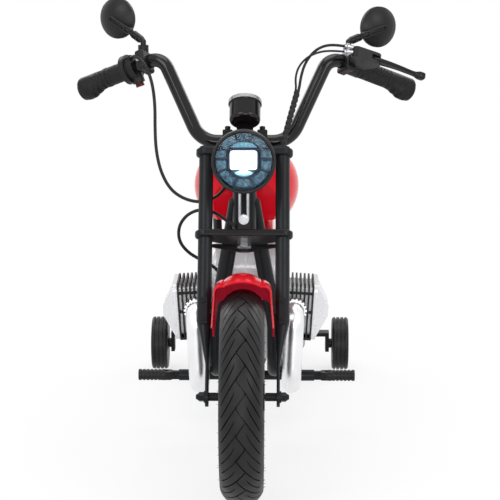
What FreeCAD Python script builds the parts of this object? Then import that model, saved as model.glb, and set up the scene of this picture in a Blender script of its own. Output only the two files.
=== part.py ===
import FreeCAD, Part
import math
import os

# Kids electric motorbike in chopper style with two stabiliser wheels, in millimetres.
# The front points to -Y, the rider's left hand is at +X, and Z is up from the ground.
# The origin is on the ground under the middle. "Back" means the distance behind the front axle,
# "ahead" the distance in front of the rear axle or of the piece named, and "rise" and "drop" are
# heights over or under the line of the axles, or over or under the piece named.

# Fits and cutters
RUNNING_FIT = 0.05
SIDE_GAP = 0.5
SEAT_GAP = 0.3
OVERRUN = 5

# Wheels
WHEELBASE = 740
TYRE_RADIUS = 162.5
TYRE_WIDTH = 64
TYRE_CROWN_DROP = 22
TYRE_WALL = 5
TYRE_BELT = 9
BEAD_RADIUS = 101.5
BEAD_WIDTH = 50
SIDEWALL_BULGE_SHARE = 0.96
RIM_FLANGE = 6
RIM_FLANGE_WALL = 4
RIM_DEPTH = 15
RIM_FLOOR_WIDTH = 26
SPOKE_COUNT = 10
SPOKE_WIDTH_AT_HUB = 15
SPOKE_WIDTH_AT_RIM = 10
SPOKE_THICKNESS = 18
HUB_RADIUS = 21
HUB_WIDTH = 67
BEARING_RADIUS = 13
BEARING_WIDTH = 8
MOTOR_RADIUS = 52
MOTOR_WIDTH = 62
MOTOR_LIP = 5

# Front axle, its spacers and dome nuts
FRONT_AXLE_RADIUS = 4
SPACER_RADIUS = 6.4
NUT_FLATS = 13
NUT_HEIGHT = 7
NUT_DOME_HEIGHT = 5
NUT_FLANGE_RADIUS = 9
NUT_FLANGE_HEIGHT = 2

# Steering: rake of the axis, place of the fork legs and the clamps along the legs
RAKE = 28
STEER_OFFSET = 30
LEG_SPACING = 119.5
LEG_RADIUS = 11.1
LEG_TAPER_TOP = 116
LEG_TAPER_BOTTOM = 48
BLADE_SPACING = 107.5
BLADE_THICKNESS = 5
BLADE_WIDTH = 30
PAD_WIDTH = 10
PAD_HEIGHT = 41
PAD_THICKNESS = 3
PAD_ALONG_LEG = 131
PAD_SCREW_RADIUS = 2.6
PAD_SCREW_HEAD = 1.6
PAD_SCREW_PITCH = 28
LUG_RADIUS = 6
LOWER_CLAMP_TOP = 260
LOWER_CLAMP_THICKNESS = 11
UPPER_CLAMP_TOP = 394
UPPER_CLAMP_THICKNESS = 12
CLAMP_EYE_RADIUS = 16
CLAMP_HUB_RADIUS = 19
CLAMP_EDGE_ROUND = 3
CLAMP_FLANGE_DROP = 10
CLAMP_FLANGE_WALL = 4
CLAMP_FLANGE_TIP = 14
STEM_RADIUS = 11
STEM_NUT_FLATS = 19
STEM_NUT_HEIGHT = 7
CUP_RADIUS = 20
CUP_HEIGHT = 9
LEG_CAP_HEIGHT = 3

# Front and rear fender
FENDER_GAP = 24.5
FENDER_SKIRT_RADIUS = 106
FENDER_WIDTH = 95
FENDER_LEAN = 4
FENDER_CORNER = 16
FENDER_WALL = 2.5
FENDER_CROWN = 10
FENDER_BOW_RADIUS = 50
FRONT_FENDER_START = -8.6
FRONT_FENDER_END = 46
REAR_FENDER_START = -48
REAR_FENDER_END = 76

# Headlight and its hairpin bracket
LAMP_RADIUS = 49
LAMP_FACE_BACK = 100
LAMP_RISE = 341.5
LAMP_RIM_LENGTH = 14
LAMP_RIM_WALL = 4
LAMP_BOWL_LENGTH = 50
LAMP_BOWL_END_RADIUS = 26
LAMP_WALL = 3
LENS_THICKNESS = 3
LENS_RECESS = 2
LAMP_UNIT_WIDTH = 42
LAMP_UNIT_HEIGHT = 30
LAMP_UNIT_DEPTH = 14
HAIRPIN_WIRE_RADIUS = 2.2
HAIRPIN_SPACING = 12.5
HAIRPIN_BOSS_RADIUS = 8
HAIRPIN_BOSS_THICKNESS = 5
HAIRPIN_BOLT_RISE = 251.5
HAIRPIN_BOLT_BACK = 110
HAIRPIN_BOLT_RADIUS = 5.5
HAIRPIN_BOLT_HEAD = 4
CLAMP_TAB_WIDTH = 20
CLAMP_TAB_THICKNESS = 6
CLAMP_TAB_ROUND = 9

# Handlebar: half of its bent tube, as corners, and the riser clamps
BAR_RADIUS = 11.1
BAR_BEHIND_STEM = 4
BAR_RISE = 25
BAR_LOW_CORNER_X = 71
BAR_TOP_CORNER_X = 133.6
BAR_TOP_CORNER_BACK = 275
BAR_TOP_CORNER_RISE = 484
BAR_END_X = 269.6
BAR_END_BACK = 335.6
BAR_END_RISE = 426.7
BAR_LOW_BEND = 42
BAR_TOP_BEND = 26
RISER_SPACING = 55
RISER_WIDTH = 16
RISER_DEPTH = 36
RISER_CAP = 15
RISER_BOLT_RADIUS = 4.5
RISER_BOLT_HEAD = 5
RISER_BOLT_PITCH = 27

# Instrument pod
POD_RADIUS = 24.5
POD_LENGTH = 36
POD_TILT = 52
POD_ABOVE_BAR = 47.5
POD_AHEAD_OF_BAR = 12.7
POD_WALL = 3
POD_ROUND = 6
POD_GLASS = 2
BEZEL_RADIUS = 26.5
BEZEL_LENGTH = 6
POD_FOOT_WIDTH = 26
POD_FOOT_DEPTH = 20

# Hand controls, placed by the distance along the bar from its end
HAND_RISE = 30
GRIP_LENGTH = 107
GRIP_RADIUS = 15.5
GRIP_WING_REACH = 21
GRIP_WING_LENGTH = 43
GRIP_WING_SHARE = 0.8
GRIP_END_CAP = 5
FIXED_GRIP_LENGTH = 56
SLEEVE_LENGTH = 32
SLEEVE_RIB_COUNT = 10
SLEEVE_RIB_HEIGHT = 1.2
THROTTLE_BODY_LENGTH = 22
THROTTLE_BODY_RADIUS = 24
THROTTLE_FLANGE_LENGTH = 9
BUTTON_RADIUS = 7
BUTTON_LENGTH = 12
BUTTON_TRAVEL = 2
PERCH_LENGTH = 13
PERCH_RADIUS = 16
PERCH_THICKNESS = 18
LEVER_PIVOT_ALONG = 104
LEVER_PIVOT_OUT = 46
LEVER_TIP_ALONG = 18
LEVER_TIP_OUT = 52
LEVER_THICKNESS = 7
LEVER_EYE_RADIUS = 8
LEVER_ROOT_RADIUS = 6
LEVER_TIP_RADIUS = 7
LEVER_PIN_RADIUS = 3
PERCH_CAP_LENGTH = 30
PERCH_CAP_WIDTH = 24
PERCH_CAP_HEIGHT = 5
ADJUSTER_RADIUS = 4
ADJUSTER_LENGTH = 15
ADJUSTER_NUT_RADIUS = 6
MIRROR_CLAMP_START = 120
MIRROR_CLAMP_LENGTH = 16
MIRROR_CLAMP_WIDTH = 34
MIRROR_CLAMP_DEPTH = 34
MIRROR_CLAMP_ROUND = 4
MIRROR_SCREW_RADIUS = 4
MIRROR_SCREW_HEAD = 3

# Mirrors
MIRROR_RADIUS = 33
MIRROR_DOME = 12
MIRROR_RIM = 5
MIRROR_GLASS = 2.5
MIRROR_TURN = 30
MIRROR_SINK_SHARE = 0.75
MIRROR_BULGE_SHARES = (0.55, 0.72)
MIRROR_POST_RADIUS = 4.5
MIRROR_POST_SOCKET = 12
MIRROR_POST_HEIGHT = 6
MIRROR_ARM_RADIUS = 4.5
MIRROR_ARM_LENGTH = 26
MIRROR_PIN_RADIUS = 2.5
MIRROR_PIN_LENGTH = 14
MIRROR_SPINE_RADIUS = 5
MIRROR_SPINE_LENGTH = 40
MIRROR_ARM_RISE_RIGHT = 30.5
MIRROR_ARM_RISE_LEFT = 17.5

# Frame tubes, as corners of their routes
HEAD_TUBE_RADIUS = 18.5
BACKBONE_RADIUS = 16
BACKBONE_HEAD_RISE = 262.5
BACKBONE_BEND_AHEAD = 270
BACKBONE_END_AHEAD = 165
BACKBONE_BEND = 90
CRADLE_RADIUS = 12.5
CRADLE_SPACING = 96
CRADLE_TOP_SPACING = 24
CRADLE_TOP_RISE = 267.5
CRADLE_KNEE_BACK = 232
CRADLE_KNEE_RISE = 52.5
CRADLE_FLOOR_BACK = 244
CRADLE_FLOOR_DROP = 32.5
CRADLE_REAR_AHEAD = 195
CRADLE_BEND = 40
DROPOUT_SPACING = 112
DROPOUT_THICKNESS = 8
DROPOUT_RADIUS = 26
SEAT_POST_RADIUS = 13
SEAT_POST_AHEAD = 218
STAY_RADIUS = 8
STAY_SPACING = 115
STAY_LUG_SHARES = (0.42, 0.52)
CROSS_RADIUS = 10

# Rear axle, brake and stabilisers
REAR_AXLE_RADIUS = 5
REAR_NUT_FLATS = 15
REAR_NUT_HEIGHT = 8
REAR_AXLE_STUB = 8
REAR_STUB_RADIUS = 4
REAR_NECK_RADIUS = 3.5
REAR_NECK_LENGTH = 1
BRAKE_RADIUS = 42
BRAKE_WIDTH = 9
BRAKE_ARM_LENGTH = 62
BRAKE_ARM_WIDTH = 14
BRAKE_ARM_THICKNESS = 4
BRAKE_ARM_EYE = 7
STABILISER_RADIUS = 50
STABILISER_WIDTH = 31
STABILISER_MIDDLE_X = 172
STABILISER_GROOVES = 3
STABILISER_GROOVE_WIDTH = 3
STABILISER_GROOVE_DEPTH = 2.5
STABILISER_EDGE_ROUND = 5
STABILISER_HUB_RECESS = 6
STABILISER_HUB_RADIUS = 26
STABILISER_BOLT_RADIUS = 5
STABILISER_HEAD_RADIUS = 9
STABILISER_HEAD_HEIGHT = 5
STRAP_THICKNESS = 7
STRAP_WIDTH = 26
STRAP_SHELF_Z = 66
STRAP_TOP_RISE = 21
STRAP_FOOT_DROP = 14
STRAP_LEG_X = 144

# Foot pegs
PEG_BACK = 350
PEG_DROP = 33
PEG_BAR_RADIUS = 8
PEG_RADIUS = 9.5
PEG_END_X = 184
PEG_PIVOT_X = 130
PEG_SLEEVE_START_X = 90
PEG_SLEEVE_END_X = 115
PEG_TONGUE = 8
PEG_TONGUE_RADIUS = 7
PEG_EAR = 4.5
PEG_BODY_START = 8.5
PEG_PIN_RADIUS = 3
PEG_PIN_HEAD_RADIUS = 5.5
PEG_PIN_HEAD = 2.5
PEG_RIB_COUNT = 6
PEG_RIB_DEPTH = 1.2
PEG_HANGER_WIDTH = 14
PEG_HANGER_DEPTH = 18

# Engine cover, battery and controller
CASE_FRONT_BACK = 262
CASE_LENGTH = 205
CASE_HEIGHT = 187.5
CASE_HALF_WIDTH = 56
CASE_CORNER = 32
CASE_WALL = 3
CASE_EDGE_ROUND = 8
CASE_DISC_AHEAD = 69
CASE_DISC_RISE = 93.5
CASE_DISC_RADII = (50, 34)
CASE_DISC_HEIGHTS = (7, 12)
CASE_DISC_ROUND = 3
CASE_RIB_COUNT = 5
CASE_RIB_PITCH = 9
CASE_RIB_WIDTH = 3
CASE_RIB_DEPTH = 1.6
BATTERY_END_GAP = 1
BATTERY_WIDTH = 88
BATTERY_HEIGHT = 98
CONTROLLER_LENGTH = 90
CONTROLLER_WIDTH = 66
CONTROLLER_HEIGHT = 32

# Dummy cylinders, fins and valve covers
CYLINDER_BACK = 292
CYLINDER_RISE = 92.5
CYLINDER_DROOP = 3.5
FIN_COUNT = 8
FIN_PITCH = 6.7
FIN_THICKNESS = 2.7
FIN_DEPTH = 96
FIN_HEIGHT = 95
FIN_ROUND = 12
FIN_STACK_START_X = 60
BARREL_INSET = 8
FIN_BAND_HEIGHT = 4
FIN_BAND_SHARES = (-0.47, 0.0, 0.33)
COVER_BASE_HEIGHT = 94
COVER_BASE_DEPTH = 92
COVER_LIP = 7
COVER_TOP_HEIGHT = 26
COVER_TOP_DEPTH = 64
COVER_LENGTH = 26
COVER_ROUND = 5

# Exhausts
PIPE_RADIUS = 16
PIPE_PORT_X = 80
PIPE_PORT_RISE = 3
PIPE_DROP_X = 74
PIPE_DROP_BACK = 214
PIPE_FLOOR_DROP = 22
PIPE_REAR_AHEAD = 100
PIPE_REAR_X = 88
PIPE_REAR_RISE = 13.5
PIPE_TOP_BEND = 20
PIPE_FLOOR_BEND = 34
COLLAR_RADIUS = 20
COLLAR_LENGTH = 9
COLLAR_TEETH = 18
COLLAR_TOOTH_WIDTH = 3
COLLAR_TOOTH_DEPTH = 2.5
SILENCER_RADIUS = 20
SILENCER_START_BACK = 410
TAIL_BORE_RADIUS = 14
TAIL_BORE_DEPTH = 40

# Tank cover and cap: stations along its length as shares of the largest width and height
TANK_FRONT_BACK = 258
TANK_LENGTH = 232
TANK_WIDTH = 173
TANK_FLOOR_RISE = 221.5
TANK_HEIGHT = 112
TANK_WALL = 3
TANK_STATION_SHARES = (0, 0.2, 0.45, 0.75, 1)
TANK_WIDTH_SHARES = (0.6, 0.88, 1, 0.8, 0.46)
TANK_HEIGHT_SHARES = (0.62, 0.92, 1, 0.86, 0.5)
TANK_WAIST_SHARE = 0.42
TANK_SHOULDER_SHARE = 0.74
TANK_SHOULDER_WIDTH_SHARE = 0.84
TANK_FOOT_SHARE = 0.86
TANK_CAP_BACK = 356
TANK_CAP_RADIUS = 17
TANK_CAP_HEIGHT = 9
TANK_CAP_NECK = 4

# Seat
SEAT_FRONT_AHEAD = 246
SEAT_LENGTH = 204
SEAT_WIDTH = 168
PAN_GAP = 18.5
PAN_THICKNESS = 6
CUSHION_HEIGHT = 52
CUSHION_TUCK_SHARE = 0.93
CUSHION_WAIST_SHARE = 0.4
CUSHION_SHOULDER_SHARE = 0.9
SEAT_STATION_SHARES = (0, 0.14, 0.38, 0.62, 0.86, 1)
SEAT_WIDTH_SHARES = (0.42, 0.62, 0.86, 1, 0.96, 0.8)
SEAT_HEIGHT_SHARES = (0.55, 0.62, 0.62, 0.7, 0.96, 0.8)
SEAT_CROWN_SHARE = 0.2
SEAT_CHANNEL_SHARES = (0.3, 0.44, 0.58, 0.72)
SEAT_CHANNEL_RADIUS = 3

# Tail light
TAIL_LIGHT_ANGLE = 48
TAIL_LIGHT_RADIUS = 22
TAIL_LIGHT_DEPTH = 24
TAIL_LIGHT_ROUND = 6

# Cords: routes as x, back and z, chosen by hand
THROTTLE_CABLE_RADIUS = 2.6
THROTTLE_CABLE_ROUTE = [
    (-185.4, 284.2, 643.3), (-181.5, 271.5, 649), (-172, 258, 643.5), (-162, 247, 630), (-152, 240, 606),
    (-145.5, 234, 573), (-143, 226, 538), (-141, 214, 504), (-133, 203, 471), (-117, 193, 444),
    (-93, 185, 430), (-66, 178, 427), (-44, 171, 437), (-31, 163, 452), (-24, 158, 466)]
BRAKE_CABLE_RADIUS = 2.2
BRAKE_CABLE_ROUTE = [
    (156.5, 248.5, 666), (141, 244, 669), (122, 240, 667), (106, 236, 657), (94, 232, 640),
    (88, 229, 620), (85.2, 227.2, 600)]
SWITCH_WIRE_RADIUS = 1.7
SWITCH_WIRE_ROUTE = [
    (155.5, 243, 658), (139, 238, 660), (118, 234, 659), (98, 230, 651), (84, 227, 636),
    (79, 226, 618), (80.8, 226, 600)]
WRAP_RADIUS = 5
WRAP_GROOVE = 1
WRAP_RIB_COUNT = 12
WRAP_RIDGE_SHARES = (0, 0.12, 0.82, 0.94)
WRAP_START = (83, 226.5, 599)
WRAP_END = (57.5, 198, 508.5)
LOOP_RADIUS = 2.6
LOOP_ROUTE = [
    (-11.6, 113, 402), (-25, 124, 407), (-41, 145, 415), (-63, 164, 420), (-88, 175, 411),
    (-104, 182, 390), (-105, 189, 364), (-92, 200, 343), (-73, 214, 328), (-56, 230, 316),
    (-46, 245, 304), (-42, 261, 294)]
CORD_BEND_SHARE = 0.45

# Places that follow from the sizes above
HUB_BORE_RADIUS = BEARING_RADIUS - BEARING_WIDTH / 2
FENDER_RADIUS = TYRE_RADIUS + FENDER_GAP
TAIL_REACH = FENDER_RADIUS * math.sin(math.radians(REAR_FENDER_END))
FRONT_AXLE_Y = -(WHEELBASE + TAIL_REACH - TYRE_RADIUS) / 2
LEG_X = LEG_SPACING / 2
BLADE_X = BLADE_SPACING / 2
UPPER_CLAMP_FLOOR = UPPER_CLAMP_TOP - UPPER_CLAMP_THICKNESS
LOWER_CLAMP_FLOOR = LOWER_CLAMP_TOP - LOWER_CLAMP_THICKNESS
LAMP_HEIGHT = TYRE_RADIUS + LAMP_RISE
HAIRPIN_BOLT_HEIGHT = TYRE_RADIUS + HAIRPIN_BOLT_RISE
BAR_TOP_CORNER_Z = TYRE_RADIUS + BAR_TOP_CORNER_RISE
BAR_END_Z = TYRE_RADIUS + BAR_END_RISE
PAN_FLOOR_Z = TYRE_RADIUS + FENDER_RADIUS + PAN_GAP
BACKBONE_HEAD_Z = TYRE_RADIUS + BACKBONE_HEAD_RISE
BACKBONE_SEAT_Z = PAN_FLOOR_Z - BACKBONE_RADIUS
BACKBONE_BEND_BACK = WHEELBASE - BACKBONE_BEND_AHEAD
BACKBONE_END_BACK = WHEELBASE - BACKBONE_END_AHEAD
CRADLE_TOP_Z = TYRE_RADIUS + CRADLE_TOP_RISE
CRADLE_KNEE_Z = TYRE_RADIUS + CRADLE_KNEE_RISE
CRADLE_FLOOR_Z = TYRE_RADIUS - CRADLE_FLOOR_DROP
CRADLE_REAR_BACK = WHEELBASE - CRADLE_REAR_AHEAD
SEAT_POST_BACK = WHEELBASE - SEAT_POST_AHEAD
SEAT_FRONT_BACK = WHEELBASE - SEAT_FRONT_AHEAD
PEG_Z = CRADLE_FLOOR_Z - PEG_DROP
CASE_FLOOR_Z = CRADLE_FLOOR_Z + CRADLE_RADIUS
CASE_TOP_Z = CASE_FLOOR_Z + CASE_HEIGHT
CASE_DISC_BACK = CASE_FRONT_BACK + CASE_LENGTH - CASE_DISC_AHEAD
CASE_DISC_Z = CASE_FLOOR_Z + CASE_DISC_RISE
BATTERY_LENGTH = CASE_LENGTH - CASE_CORNER * 2 - BATTERY_END_GAP
CYLINDER_Z = CASE_FLOOR_Z + CYLINDER_RISE
PIPE_PORT_Z = CYLINDER_Z + PIPE_PORT_RISE
PIPE_FLOOR_Z = CRADLE_FLOOR_Z - PIPE_FLOOR_DROP
PIPE_REAR_BACK = WHEELBASE - PIPE_REAR_AHEAD
PIPE_REAR_Z = TYRE_RADIUS + PIPE_REAR_RISE
TANK_FLOOR_Z = TYRE_RADIUS + TANK_FLOOR_RISE

ORIGIN = FreeCAD.Vector(0, 0, 0)
AXIS_X = FreeCAD.Vector(1, 0, 0)
AXIS_Y = FreeCAD.Vector(0, 1, 0)
AXIS_Z = FreeCAD.Vector(0, 0, 1)
BACK_TO_FRONT = FreeCAD.Vector(0, -1, 0)


def at(x, back, z):
    """A point given by its side, its distance behind the front axle and its height."""
    return FreeCAD.Vector(x, FRONT_AXLE_Y + back, z)


def unit(vector):
    return FreeCAD.Vector(vector).normalize()


def moved(shape, placement):
    copy = shape.copy()
    copy.Placement = placement.multiply(copy.Placement)
    return copy


def mirrored(shape):
    return shape.mirror(ORIGIN, AXIS_X)


def fused(first, *others):
    return first.multiFuse(list(others)).removeSplitter()


def group(*shapes):
    return Part.makeCompound(list(shapes))


def steering_placement():
    """The steering axis is local Z, the front axle is in front of it by the fork's offset."""
    rake = math.radians(RAKE)
    base = at(0, STEER_OFFSET * math.cos(rake), TYRE_RADIUS - STEER_OFFSET * math.sin(rake))
    return FreeCAD.Placement(base, FreeCAD.Rotation(AXIS_X, -RAKE))


def raked(shape):
    return moved(shape, steering_placement())


def raked_point(x, y, z):
    return steering_placement().multVec(FreeCAD.Vector(x, y, z))


def rod(start, end, radius):
    return Part.makeCylinder(radius, (end - start).Length, start, end - start)


def ring(outer, inner, length, base, axis):
    reach = unit(axis) * OVERRUN
    bore = Part.makeCylinder(inner, length + OVERRUN * 2, base - reach, axis)
    return Part.makeCylinder(outer, length, base, axis).cut(bore)


def box(x_range, y_range, z_range):
    """A box between pairs of places along X, Y and Z."""
    corner = FreeCAD.Vector(x_range[0], y_range[0], z_range[0])
    sizes = [pair[1] - pair[0] for pair in (x_range, y_range, z_range)]
    return Part.makeBox(*sizes, corner)


def span(middle, size):
    return (middle - size / 2, middle + size / 2)


def hexagon(flats, height, base, axis):
    """A hexagonal prism, such as a nut or a bolt's head."""
    reach = flats / 2 / math.cos(math.pi / 6)
    angles = [math.pi / 3 * step for step in range(7)]
    corners = [FreeCAD.Vector(reach * math.cos(a), reach * math.sin(a), 0) for a in angles]
    prism = Part.Face(Part.makePolygon(corners)).extrude(AXIS_Z * height)
    return moved(prism, FreeCAD.Placement(base, FreeCAD.Rotation(AXIS_Z, axis)))


def rounded_path(points, bends):
    """Straight runs joined by tangent arcs, with a radius for each inner point."""
    edges = []
    start = points[0]
    for before, corner, after, bend in zip(points, points[1:], points[2:], bends):
        arrive = unit(corner - before)
        leave = unit(after - corner)
        half_turn = arrive.getAngle(leave) / 2
        setback = bend * math.tan(half_turn)
        inward = unit(leave - arrive) * (bend / math.cos(half_turn) - bend)
        first = corner - arrive * setback
        last = corner + leave * setback
        edges.append(Part.LineSegment(start, first).toShape())
        edges.append(Part.Arc(first, corner + inward, last).toShape())
        start = last
    edges.append(Part.LineSegment(start, points[-1]).toShape())
    return Part.Wire(edges)


def tube(points, bends, radius):
    path = rounded_path(points, bends)
    section = Part.Wire(Part.makeCircle(radius, points[0], points[1] - points[0]))
    return path.makePipeShell([section], True, False)


def hull_face(circles, plane):
    """The taut outline round circles (a, b, radius), in counterclockwise order, on a plane."""
    tangents = []
    for (a1, b1, r1), (a2, b2, r2) in zip(circles, circles[1:] + circles[:1]):
        length = math.hypot(a2 - a1, b2 - b1)
        along = ((a2 - a1) / length, (b2 - b1) / length)
        lean = math.asin((r1 - r2) / length)
        normal_a = along[1] * math.cos(lean) + along[0] * math.sin(lean)
        normal_b = -along[0] * math.cos(lean) + along[1] * math.sin(lean)
        tangents.append(math.atan2(normal_b, normal_a))
    edges = []
    for index, (a, b, radius) in enumerate(circles):
        start = tangents[index - 1]
        turn = (tangents[index] - start) % (math.pi * 2)
        swing = [start, start + turn / 2, start + turn]
        arc = [plane(a + radius * math.cos(t), b + radius * math.sin(t)) for t in swing]
        following = circles[(index + 1) % len(circles)]
        angle = tangents[index]
        landing = plane(following[0] + following[2] * math.cos(angle),
                        following[1] + following[2] * math.sin(angle))
        edges.append(Part.Arc(*arc).toShape())
        edges.append(Part.LineSegment(arc[-1], landing).toShape())
    return Part.Face(Part.Wire(edges))


def flat_plane(a, b):
    return FreeCAD.Vector(a, b, 0)


def side_plane(back, z):
    return at(0, back, z)


def tyre():
    """A hollow tyre with a round crown, spun about X."""
    shoulder = TYRE_RADIUS - TYRE_CROWN_DROP
    half = TYRE_WIDTH / 2
    bead = BEAD_WIDTH / 2
    flange = BEAD_RADIUS + RIM_FLANGE
    middle = (shoulder + flange) / 2

    def wall(side, inset):
        foot = FreeCAD.Vector(side * (bead - inset), 0, BEAD_RADIUS)
        knee = FreeCAD.Vector(side * (bead - inset), 0, flange)
        bulge = FreeCAD.Vector(side * (half * SIDEWALL_BULGE_SHARE - inset), 0, middle)
        top = FreeCAD.Vector(side * (half - inset), 0, shoulder)
        return foot, knee, bulge, top

    edges = []
    for inset, crown in ((0, TYRE_RADIUS), (TYRE_WALL, TYRE_RADIUS - TYRE_BELT)):
        left = wall(-1, inset)
        right = wall(1, inset)
        edges.append(Part.Arc(left[3], FreeCAD.Vector(0, 0, crown), right[3]).toShape())
        for foot, knee, bulge, top in (left, right):
            edges.append(Part.LineSegment(foot, knee).toShape())
            edges.append(Part.Arc(knee, bulge, top).toShape())
    for side in (-1, 1):
        edges.append(Part.LineSegment(wall(side, 0)[0], wall(side, TYRE_WALL)[0]).toShape())
    face = Part.Face(Part.Wire(Part.__sortEdges__(edges)))
    return face.revolve(ORIGIN, AXIS_X, 360)


def spoke(inner, outer):
    """One tapered spoke along Z between two radii."""
    sections = []
    for radius, width in ((inner, SPOKE_WIDTH_AT_HUB), (outer, SPOKE_WIDTH_AT_RIM)):
        x = SPOKE_THICKNESS / 2
        y = width / 2
        corners = [(-x, -y), (x, -y), (x, y), (-x, y), (-x, -y)]
        sections.append(Part.makePolygon([FreeCAD.Vector(a, b, radius) for a, b in corners]))
    return Part.makeLoft(sections, True, True)


def rim_ring():
    half = BEAD_WIDTH / 2
    outside = half + RIM_FLANGE_WALL
    flange = BEAD_RADIUS + RIM_FLANGE
    lower = BEAD_RADIUS - RIM_FLANGE_WALL
    floor = BEAD_RADIUS - RIM_DEPTH
    half_floor = RIM_FLOOR_WIDTH / 2
    outline = [(-outside, flange), (-half, flange), (-half, BEAD_RADIUS), (half, BEAD_RADIUS),
               (half, flange), (outside, flange), (outside, lower), (half_floor, floor),
               (-half_floor, floor), (-outside, lower), (-outside, flange)]
    face = Part.Face(Part.makePolygon([FreeCAD.Vector(x, 0, r) for x, r in outline]))
    return face.revolve(ORIGIN, AXIS_X, 360)


def wheel(hub_radius, hub_width):
    """Rim, spokes and a plain hub in one casting, spun about X."""
    hub = Part.makeCylinder(hub_radius, hub_width, AXIS_X * (-hub_width / 2), AXIS_X)
    one = spoke(hub_radius - SPOKE_WIDTH_AT_HUB / 2, BEAD_RADIUS - RIM_DEPTH + RIM_FLANGE_WALL)
    spokes = []
    for index in range(SPOKE_COUNT):
        turn = FreeCAD.Rotation(AXIS_X, 360 / SPOKE_COUNT * index)
        spokes.append(moved(one, FreeCAD.Placement(ORIGIN, turn)))
    return fused(rim_ring(), hub, *spokes)


def front_wheel():
    """The wheel with a ball bearing in each end of its hub."""
    half = HUB_WIDTH / 2
    casting = wheel(HUB_RADIUS, HUB_WIDTH)
    long_bore = HUB_WIDTH + OVERRUN * 2
    casting = casting.cut(Part.makeCylinder(HUB_BORE_RADIUS, long_bore, AXIS_X * (-long_bore / 2), AXIS_X))
    bearings = []
    for start in (-half, half - BEARING_WIDTH):
        base = AXIS_X * start
        casting = casting.cut(Part.makeCylinder(BEARING_RADIUS, BEARING_WIDTH, base, AXIS_X))
        bore = FRONT_AXLE_RADIUS + RUNNING_FIT
        bearings.append(ring(BEARING_RADIUS, bore, BEARING_WIDTH, base, AXIS_X))
    return group(casting, *bearings)


def rear_wheel():
    """The wheel whose hub is the drum of the motor."""
    casting = wheel(MOTOR_RADIUS, MOTOR_WIDTH - MOTOR_LIP * 2)
    drum = Part.makeCylinder(HUB_RADIUS, MOTOR_WIDTH, AXIS_X * (-MOTOR_WIDTH / 2), AXIS_X)
    long_bore = MOTOR_WIDTH + OVERRUN * 2
    bore = Part.makeCylinder(REAR_AXLE_RADIUS + RUNNING_FIT, long_bore, AXIS_X * (-long_bore / 2), AXIS_X)
    return fused(casting, drum).cut(bore)


def at_front_axle(shape):
    return moved(shape, FreeCAD.Placement(at(0, 0, TYRE_RADIUS), FreeCAD.Rotation()))


def at_rear_axle(shape):
    return moved(shape, FreeCAD.Placement(at(0, WHEELBASE, TYRE_RADIUS), FreeCAD.Rotation()))


def stabiliser_wheel():
    """A solid plastic wheel with grooves round its tread, on the left side."""
    inner_x = STABILISER_MIDDLE_X - STABILISER_WIDTH / 2
    base = at(inner_x, WHEELBASE, STABILISER_RADIUS)
    body = Part.makeCylinder(STABILISER_RADIUS, STABILISER_WIDTH, base, AXIS_X)
    body = body.makeFillet(STABILISER_EDGE_ROUND, [e for e in body.Edges if len(e.Vertexes) == 1])
    pitch = STABILISER_WIDTH / (STABILISER_GROOVES + 1)
    for index in range(STABILISER_GROOVES):
        start = base + AXIS_X * (pitch * (index + 1) - STABILISER_GROOVE_WIDTH / 2)
        floor = STABILISER_RADIUS - STABILISER_GROOVE_DEPTH
        groove = ring(STABILISER_RADIUS + OVERRUN, floor, STABILISER_GROOVE_WIDTH, start, AXIS_X)
        body = body.cut(groove)
    outer = base + AXIS_X * (STABILISER_WIDTH - STABILISER_HUB_RECESS)
    body = body.cut(Part.makeCylinder(STABILISER_HUB_RADIUS, STABILISER_WIDTH, outer, AXIS_X))
    bore = Part.makeCylinder(STABILISER_BOLT_RADIUS + RUNNING_FIT, STABILISER_WIDTH + OVERRUN * 2,
                             base - AXIS_X * OVERRUN, AXIS_X)
    return body.cut(bore)


def fender_side_top():
    return FENDER_RADIUS - FENDER_CROWN - FENDER_CORNER


def fender_half(radius):
    """Half the fender's width at a distance from the axle: the sides lean in towards the top."""
    share = (radius - FENDER_SKIRT_RADIUS) / (fender_side_top() - FENDER_SKIRT_RADIUS)
    return FENDER_WIDTH / 2 - FENDER_LEAN * share


def fender(start, end):
    """A deep U-shaped fender over a wheel at the origin, between two angles from the top."""
    side_top = fender_side_top()
    half = fender_half(side_top)
    diagonal = math.cos(math.pi / 4)

    def outline(inset):
        left = FreeCAD.Vector(inset - fender_half(FENDER_SKIRT_RADIUS), 0, FENDER_SKIRT_RADIUS)
        left_top = FreeCAD.Vector(-half + inset, 0, side_top)
        corner = FENDER_CORNER - inset
        knee = FreeCAD.Vector(-half + FENDER_CORNER - corner * diagonal, 0, side_top + corner * diagonal)
        top_left = FreeCAD.Vector(-half + FENDER_CORNER, 0, side_top + corner)
        top = FreeCAD.Vector(0, 0, FENDER_RADIUS - inset)
        return left, left_top, knee, top_left, top

    def flip(point):
        return FreeCAD.Vector(-point.x, point.y, point.z)

    edges = []
    for inset in (0, FENDER_WALL):
        left, left_top, knee, top_left, top = outline(inset)
        for place in (FreeCAD.Vector, flip):
            edges.append(Part.LineSegment(place(left), place(left_top)).toShape())
            edges.append(Part.Arc(place(left_top), place(knee), place(top_left)).toShape())
        edges.append(Part.Arc(top_left, top, flip(top_left)).toShape())
    outer_foot = outline(0)[0]
    inner_foot = outline(FENDER_WALL)[0]
    edges.append(Part.LineSegment(outer_foot, inner_foot).toShape())
    edges.append(Part.LineSegment(flip(outer_foot), flip(inner_foot)).toShape())
    face = Part.Face(Part.Wire(Part.__sortEdges__(edges)))
    face.rotate(ORIGIN, AXIS_X, -start)
    return face.revolve(ORIGIN, AXIS_X, -(end - start))


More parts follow.
